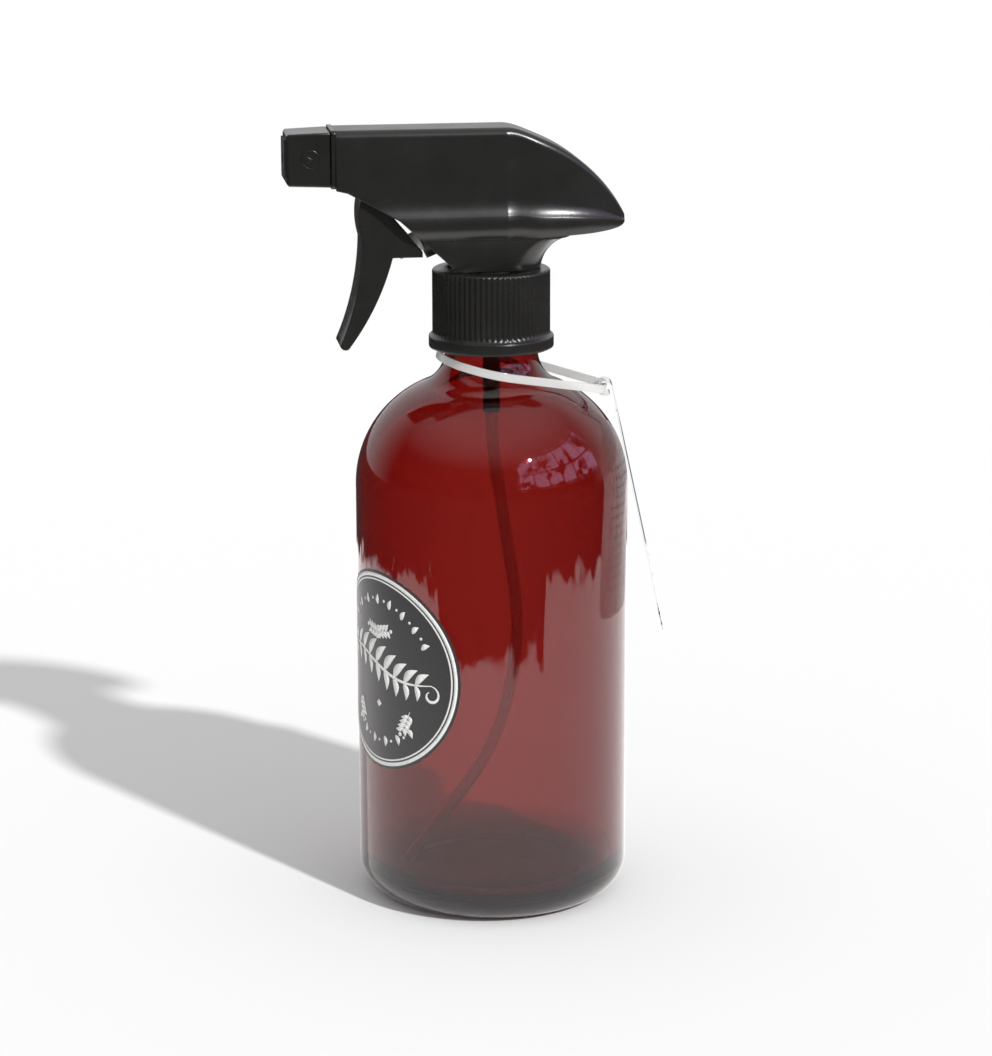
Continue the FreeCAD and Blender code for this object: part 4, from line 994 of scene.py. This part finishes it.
    def build(self) -> None:
        """Lay the film, ink the artwork and lay that on the film."""
        self.lay_film()
        for inner, outer in self.rings_mm:
            self.ring(inner, outer)
        self.centre_sprig()
        for border in self.borders:
            self.border_row(*border)
        for root, angle_deg in self.small_sprigs:
            self.small_sprig(root, angle_deg)
        self.dot(*self.diamond, sides=4)
        for face in self.artwork.faces:
            face.normal_update()
        white = PrintedFilm("white_ink_on_film", "dcdcda", "8d8d8c", 0.4, 0.32, 0.75).build()
        thicken(make_piece("label_print", self.artwork, white, "root"), self.ink_mm)


# --- Closure and sprayer head -------------------------------
@dataclass
class Collar:
    """Screw collar with rounded ribs, a smooth foot band and a hole in its top."""

    ribs: int = 66
    steps_per_rib: int = 8
    rib_depth_mm: float = 0.45
    rib_sharpness: float = 1.6
    rib_foot_mm: float = 0.75
    rib_foot_fade_mm: float = 0.6
    rib_head_mm: float = 0.12
    rib_head_fade_mm: float = 0.9
    grip_mm: float = 16.1
    band_mm: float = 17.1
    band_height_mm: float = 3.5
    band_soft_mm: float = 0.55
    bore_mm: float = 14.15
    hole_mm: float = 9.44
    chamfer_mm: float = 0.3
    top_plate_mm: float = 2.0
    edge_mm: float = 0.8

    def __post_init__(self) -> None:
        """Read the collar's ends from the frame."""
        low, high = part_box("collar")
        self.bottom: float = low.z / MM
        self.top: float = high.z / MM

    def profile(self) -> list[Point2]:
        """Draw the collar's section, round from the foot's inner edge.

        Returns:
            (radius, height) points in mm.
        """
        band_top = self.bottom + self.band_height_mm
        soft, chamfer = self.band_soft_mm, self.chamfer_mm
        ceiling = self.top - self.top_plate_mm
        brow = self.top - self.edge_mm
        points = [(self.bore_mm, self.bottom + chamfer), (self.bore_mm + chamfer, self.bottom)]
        points += arc((self.band_mm - soft, self.bottom + soft), soft, -90, 0, steps=6)
        points += arc((self.band_mm - soft, band_top - soft), soft, 0, 90, steps=6)
        # A small fillet leads from the band up to the ribs.
        points += [(self.grip_mm + 0.3, band_top + 0.1), (self.grip_mm + 0.05, band_top + 0.5)]
        points += between((self.grip_mm, band_top + 0.7), (self.grip_mm, brow), steps=34)
        points += arc((self.grip_mm - self.edge_mm, brow), self.edge_mm, 0, 90, steps=8)
        points += [(self.hole_mm + chamfer, self.top), (self.hole_mm, self.top - chamfer)]
        return points + [(self.hole_mm, ceiling), (self.bore_mm, ceiling)]

    def rib(self, angle: float, radius: float, height: float) -> float:
        """Cut the grooves between the ribs.

        Args:
            angle: Angle round the axis.
            radius: Radius of the plain section, in mm.
            height: Height over the bottle's foot, in mm.

        Returns:
            The change of radius there, in mm.
        """
        if radius < (self.bore_mm + self.grip_mm) / 2:
            return 0.0
        foot = self.bottom + self.band_height_mm + self.rib_foot_mm
        head = self.top - self.rib_head_mm
        rise = min(1.0, max(0.0, (height - foot) / self.rib_foot_fade_mm))
        fall = min(1.0, max(0.0, (head - height) / self.rib_head_fade_mm))
        wave = 0.5 + 0.5 * math.cos(angle * self.ribs)
        return -self.rib_depth_mm * wave ** self.rib_sharpness * math.sqrt(rise * fall)

    def build(self, plastic: bpy.types.Material) -> None:
        """Mould the collar."""
        mesh = revolve(self.profile(), self.ribs * self.steps_per_rib, True, self.rib)
        make_piece("collar_shell", mesh, plastic, "closure", ["collar"], 60.0)


@dataclass
class SprayerHead:
    """Pump body, shroud, trigger and nozzle, with a raised spray mark on the nozzle's sides."""

    mark_x_mm: float = -49.3
    mark_z_mm: float = 208.1
    mark_radius_mm: float = 2.35
    mark_sides: int = 48
    ray_leans_deg: tuple[float, ...] = (-26.0, 0.0, 26.0)
    ray_start_mm: float = 0.5
    ray_step_mm: float = 0.16
    ray_steps: int = 10
    line_mm: float = 0.14
    side_taper_mm: float = 0.4
    trigger_edge_mm: float = 0.4
    nozzle_edge_mm: float = 0.12

    def side(self, x_mm: float, hand: int) -> float:
        """Find the nozzle's tapered side.

        Args:
            x_mm: Place along the nozzle.
            hand: The side: 1 or -1.

        Returns:
            The y of that side, in mm.
        """
        low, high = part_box("nozzle_cap")
        share = (x_mm - high.x / MM) / (low.x / MM - high.x / MM)
        return hand * (high.y / MM - self.side_taper_mm * share)

    def spray_mark(self, plastic: bpy.types.Material) -> None:
        """Raise a plain ring with three diverging lines on both sides of the nozzle.

        Args:
            plastic: Their finish.
        """
        centre = (self.mark_x_mm, self.mark_z_mm)
        ring = circle(self.mark_radius_mm, self.mark_sides, centre)
        start = (self.mark_x_mm + self.ray_start_mm, self.mark_z_mm)
        rays = [[polar(step * self.ray_step_mm, math.radians(180.0 + lean), start)
                 for step in range(self.ray_steps + 1)] for lean in self.ray_leans_deg]
        for hand, word in ((-1, "right"), (1, "left")):
            mark = bmesh.new()
            for line in (ring, *rays):
                path = [Vector((x, self.side(x, hand), z)) * MM for x, z in line]
                tube(mark, path, self.line_mm * MM, line is ring)
            make_piece("nozzle_mark_" + word, mark, plastic, "nozzle")

    def build(self, satin: bpy.types.Material, smooth: bpy.types.Material,
              matt: bpy.types.Material) -> None:
        """Dress the head's mouldings and raise the mark.

        Args:
            satin: Finish of the shroud and the trigger.
            smooth: Finish of the nozzle.
            matt: Finish of the pump's inner mouldings.
        """
        dress(satin, "shroud", "trigger")
        dress(smooth, "nozzle_cap", "nozzle_bush")
        dress(matt, "pump_body", "tube_holder")
        round_edges("trigger", self.trigger_edge_mm)
        round_edges("nozzle_cap", self.nozzle_edge_mm)
        round_edges("nozzle_bush", self.nozzle_edge_mm)
        self.spray_mark(smooth)


@dataclass
class PumpInsides:
    """The small working pieces: valves, piston, seals, spring and dip tube."""

    pump_axis: tuple[float, float, float] = (0.92321, 0.0, 0.384295)
    coil_mm: float = 2.2
    wire_mm: float = 0.3
    turns: float = 5.5
    steps_per_turn: int = 20
    stroke_mm: float = 5.95

    def wind_spring(self, material: bpy.types.Material) -> None:
        """Wind the return spring as one fixed coil, which does not shorten as the piston slides in.

        Args:
            material: Its finish.
        """
        along = Vector(self.pump_axis)
        low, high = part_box("piston_seal")
        middle = (low + high) / 2
        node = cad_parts["return_spring"]
        reach = [along.dot(node.matrix_world @ vertex.co - middle) for vertex in node.data.vertices]
        start, end = min(reach) + self.wire_mm * MM, max(reach) - self.wire_mm * MM
        up = along.orthogonal().normalized()
        side = along.cross(up)
        count = round(self.turns * self.steps_per_turn)
        points = []
        for step in range(count + 1):
            x, y = polar(self.coil_mm * MM, TURN * self.turns * step / count)
            points.append(middle + along * (start + (end - start) * step / count)
                          + up * x + side * y)
        wire = bmesh.new()
        tube(wire, points, self.wire_mm * MM, False)
        coil = make_piece("spring_coil", wire, material, "head",
                          ["return_spring"])
        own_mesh(coil)

    def build(self) -> None:
        """Dress the working pieces and wind the spring."""
        dress(ClearPlastic("moulded_natural_polyethylene", "e4e4df", 0.25, 0.4, 3.0, 0.01).build(),
              "piston", "swirl_plug")
        dress(ClearPlastic("extruded_clear_polyethylene", "f2efec", 0.92, 0.2, 2.0, 0.012,
                           1.38).build(), "dip_tube")
        dress(MouldedRubber("moulded_black_rubber", "1c1c1c", "2b2b2a").build(),
              "piston_seal", "discharge_valve", "nozzle_pad")
        dress(MouldedRubber("moulded_pale_rubber", "c9c8c2", "d8d7d2").build(), "gasket")
        dress(DrawnSteel("ground_ball_steel", "cfcfce", 0.12).build(), "inlet_ball")
        self.wind_spring(DrawnSteel("drawn_spring_steel", "b9b9b7", 0.28).build())


@dataclass
class HangingTag:
    """Clear card on a translucent strap, with rows of tiny printed dots."""

    bar_mm: tuple[float, float, float] = (30.717, -4.317, 143.663)
    turn_deg: float = -8.0
    lean_deg: float = 12.16
    face_mm: float = 2.15
    first_row_mm: float = 21.0
    row_gap_mm: float = 3.1
    rows: int = 13
    half_row_mm: float = 13.5
    dots_per_row: int = 15
    short_by: int = 5
    dot_mm: float = 0.42
    dot_sides: int = 8
    ink_lift_mm: float = 0.03
    ink_mm: float = 0.02

    def on_card(self, across_mm: float, down_mm: float) -> Vector:
        """Find a place on the card's outer face, at the height of the ink.

        Args:
            across_mm: Distance from the card's middle line.
            down_mm: Distance below the bar, along the card.

        Returns:
            The point in the frame.
        """
        lean = math.radians(self.lean_deg)
        lift = self.face_mm + self.ink_lift_mm
        out = lift * math.cos(lean) + down_mm * math.sin(lean)
        up = lift * math.sin(lean) - down_mm * math.cos(lean)
        flat = Matrix.Rotation(math.radians(self.turn_deg), 3, "Z") @ Vector((out, across_mm, up))
        return (Vector(self.bar_mm) + flat) * MM

    def print_dots(self) -> None:
        """Print rows of dots on the card, with every third row left short."""
        mesh = bmesh.new()
        gap = 2 * self.half_row_mm / (self.dots_per_row - 1)
        for row in range(self.rows):
            down = self.first_row_mm + row * self.row_gap_mm
            count = self.dots_per_row - (self.short_by if row % 3 == 2 else 0)
            for index in range(count):
                rim = circle(self.dot_mm, self.dot_sides, (-self.half_row_mm + index * gap, down))
                mesh.faces.new([mesh.verts.new(self.on_card(*place)) for place in rim])
        for face in mesh.faces:
            face.normal_update()
        ink = PrintedFilm("grey_ink_on_card", "4a4a4c", "7c7c7e", 0.4, 0.5, 0.6).build()
        thicken(make_piece("tag_print", mesh, ink, "tag"), self.ink_mm)

    def build(self) -> None:
        """Dress the strap and the card, and print the card."""
        dress(ClearPlastic("moulded_translucent_polyethylene", "eeeeec", 0.45, 0.22, 1.5,
                           0.008).build(), "tag_strap")
        dress(ClearPlastic("extruded_clear_polyester", "fbfcfc", 1.0, 0.03, 6.0, 0.004).build(),
              "tag_card")
        self.print_dots()


# --- Studio -------------------------------------------------
@dataclass
class Studio:
    """Pale floor, soft surroundings, one key light and the camera.

    Mirror images see a room instead of the plain surroundings. The colours here are light levels
    in linear light, since some are brighter than white.
    """

    camera_turn_deg: float = -8.0
    camera_tilt_deg: float = 14.02
    camera_roll_deg: float = -0.128
    camera_height_mm: float = 324.8
    camera_reach_mm: float = 885.4
    camera_side_mm: float = 1.18
    sensor_mm: float = 36.0
    lens_mm: float = 112.217
    clip_m: tuple[float, float] = (0.05, 100.0)
    floor_half_m: float = 20.0
    floor_seen: Colour = (0.80, 0.80, 0.80, 1.0)
    floor_near: Colour = (1.45, 1.4, 1.4, 1.0)
    floor_far: Colour = (0.05, 0.045, 0.045, 1.0)
    dim_reach_m: Point2 = (0.29, 0.39)
    dim_turn: Point2 = (0.72, 0.78)
    dim_edge_m: Point2 = (0.07, 0.085)
    patch_mm: float = 62.5
    patch_reach_m: float = 0.14
    sky_strength: float = 0.69
    sky_seen: Colour = (1.0, 1.0, 1.0, 1.0)
    room_dark: Colour = (0.03, 0.027, 0.027, 1.0)
    room_pale: Colour = (1.1, 1.1, 1.12, 1.0)
    pale_above: Point2 = (0.48, 0.9)
    pale_behind: Point2 = (0.1, 0.6)
    daylight: Colour = (2.5, 1.9, 2.9, 1.0)
    window_turn: Point2 = (1.25, 2.75)
    window_rise: Point2 = (0.12, 0.66)
    window_soft: float = 0.04
    pane: float = 0.12
    bar: Point2 = (0.006, 0.014)
    leaf_scale: float = 7.0
    leaf_edge: Point2 = (0.42, 0.52)
    key_strength: float = 2.9
    key_spread_deg: float = 2.5
    key_from: tuple[float, float, float] = (0.503, -0.615, 0.602)

    def turned(self, x: float, y: float, z: float) -> Vector:
        """Turn a direction or place from the camera's heading into the frame."""
        return Matrix.Rotation(math.radians(self.camera_turn_deg), 3, "Z") @ Vector((x, y, z))

    def heading(self, tree: Tree, place: Socket) -> tuple[Socket, bpy.types.Node]:
        """Turn shader coordinates to the camera's heading.

        Args:
            tree: The node tree.
            place: Coordinates in the frame.

        Returns:
            The turned coordinates, and a node with their parts: X to the right, Y away.
        """
        turned = add_node(tree, "ShaderNodeVectorRotate",
                          {"rotation_type": "Z_AXIS", "Vector": place,
                           "Angle": math.radians(-self.camera_turn_deg)}).outputs["Vector"]
        return turned, add_node(tree, "ShaderNodeSeparateXYZ", {"Vector": turned})

    @staticmethod
    def mirror_rays(tree: Tree) -> Socket:
        """Tell mirror images apart.

        Args:
            tree: The node tree.

        Returns:
            One for mirror images alone, zero for what is seen directly or through glass.
        """
        path = add_node(tree, "ShaderNodeLightPath").outputs
        return add_node(tree, "ShaderNodeMath",
                        {"operation": "SUBTRACT", "use_clamp": True, 0: path["Is Glossy Ray"],
                         1: path["Is Transmission Ray"]}).outputs[0]

    def floor(self) -> None:
        """Lay the floor; mirror images see it pale close by and dim further off, as in a room."""
        material, tree, place = new_material("painted_pale_floor")
        parts = self.heading(tree, place)[1].outputs
        turn = maths(tree, "ARCTAN2", maths(tree, "ABSOLUTE", parts["X"]),
                     maths(tree, "MULTIPLY", parts["Y"], -1.0))
        limit = remap(tree, turn, self.dim_turn, self.dim_reach_m)
        reach = add_node(tree, "ShaderNodeVectorMath", {"operation": "LENGTH", 0: place})
        ragged = maths(tree, "MULTIPLY_ADD", noise(tree, place, self.patch_mm, 5.0),
                       self.patch_reach_m, reach.outputs["Value"])
        far = remap(tree, maths(tree, "SUBTRACT", ragged, limit), self.dim_edge_m)
        colour = mix(tree, self.mirror_rays(tree), self.floor_seen,
                     mix(tree, far, self.floor_near, self.floor_far))
        shader = add_node(tree, "ShaderNodeBsdfDiffuse", {"Color": colour})
        add_node(tree, "ShaderNodeOutputMaterial", {"Surface": shader.outputs[0]})
        mesh = bmesh.new()
        bmesh.ops.create_grid(mesh, x_segments=1, y_segments=1, size=self.floor_half_m)
        add_object("floor", mesh, material)

    def window(self, tree: Tree, direction: Socket, parts: bpy.types.Node) -> Socket:
        """Draw a tall window with panes, on the right in front, with trees outside.

        Args:
            tree: The sky's node tree.
            direction: The direction from the camera's heading.
            parts: Its parts, X to the right and Y away from the camera.

        Returns:
            One where daylight comes through and zero elsewhere.
        """
        turn = maths(tree, "ARCTAN2", parts.outputs["X"], parts.outputs["Y"])
        leaves = add_node(tree, "ShaderNodeTexNoise",
                          {"Vector": direction, "Scale": self.leaf_scale, "Detail": 5.0})
        light = remap(tree, leaves.outputs["Fac"], self.leaf_edge)
        for source, (low, high) in ((turn, self.window_turn),
                                    (parts.outputs["Z"], self.window_rise)):
            half = (high - low) / 2
            off = maths(tree, "ABSOLUTE", maths(tree, "SUBTRACT", source, (low + high) / 2))
            inside = remap(tree, off, (half, half - self.window_soft))
            clear = remap(tree, maths(tree, "PINGPONG", off, self.pane), self.bar)
            light = maths(tree, "MULTIPLY", light, maths(tree, "MULTIPLY", inside, clear))
        return light

    def sky(self) -> None:
        """Surround the scene with a pale sky; mirror images see a dark room with a window."""
        world = bpy.data.worlds.new("studio")
        bpy.context.scene.world = world
        world.use_nodes = True
        tree = world.node_tree
        tree.nodes.clear()
        place = add_node(tree, "ShaderNodeTexCoord").outputs["Generated"]
        direction, parts = self.heading(tree, place)
        above = remap(tree, parts.outputs["Z"], self.pale_above)
        behind = remap(tree, parts.outputs["Y"], self.pale_behind)
        room = mix(tree, maths(tree, "MAXIMUM", above, behind), self.room_dark, self.room_pale)
        lit_room = mix(tree, self.window(tree, direction, parts), room, self.daylight)
        colour = mix(tree, self.mirror_rays(tree), self.sky_seen, lit_room)
        background = add_node(tree, "ShaderNodeBackground",
                              {"Color": colour, "Strength": self.sky_strength})
        add_node(tree, "ShaderNodeOutputWorld", {"Surface": background.outputs["Background"]})

    def key_light(self) -> None:
        """Hang the key light high on the right, in front."""
        data = bpy.data.lights.new("key", "SUN")
        data.energy = self.key_strength
        data.angle = math.radians(self.key_spread_deg)
        light = bpy.data.objects.new("key", data)
        bpy.context.scene.collection.objects.link(light)
        light.rotation_mode = "QUATERNION"
        light.rotation_quaternion = self.turned(*self.key_from).to_track_quat("Z", "Y")

    def camera(self) -> None:
        """Set up the camera, with everything in focus."""
        data = bpy.data.cameras.new("camera")
        data.sensor_width = self.sensor_mm
        data.lens = self.lens_mm
        data.clip_start, data.clip_end = self.clip_m
        camera = bpy.data.objects.new("camera", data)
        bpy.context.scene.collection.objects.link(camera)
        spot = self.turned(self.camera_side_mm * MM, -self.camera_reach_mm * MM,
                           self.camera_height_mm * MM)
        aim = (Matrix.Rotation(math.radians(self.camera_turn_deg), 4, "Z")
               @ Matrix.Rotation(math.radians(90.0 - self.camera_tilt_deg), 4, "X")
               @ Matrix.Rotation(math.radians(self.camera_roll_deg), 4, "Z"))
        camera.matrix_world = Matrix.Translation(spot) @ aim
        bpy.context.scene.camera = camera

    def build(self) -> None:
        """Set the studio up."""
        bpy.context.scene.view_settings.view_transform = "Standard"
        self.floor()
        self.sky()
        self.key_light()
        self.camera()


def main() -> None:
    """Build the studio and every sub-assembly."""
    logging.basicConfig(level=logging.INFO, format="%(name)s %(message)s")
    Studio().build()
    satin = MouldedPolypropylene("satin_black_polypropylene", Gloss.SATIN).build()
    smooth = MouldedPolypropylene("smooth_black_polypropylene", Gloss.SMOOTH).build()
    matt = MouldedPolypropylene("matt_black_polypropylene", Gloss.MATT).build()
    Bottle().build()
    WrappedLabel().build()
    Collar().build(satin)
    SprayerHead().build(satin, smooth, matt)
    PumpInsides().build()
    HangingTag().build()


if __name__ == "__main__":
    main()
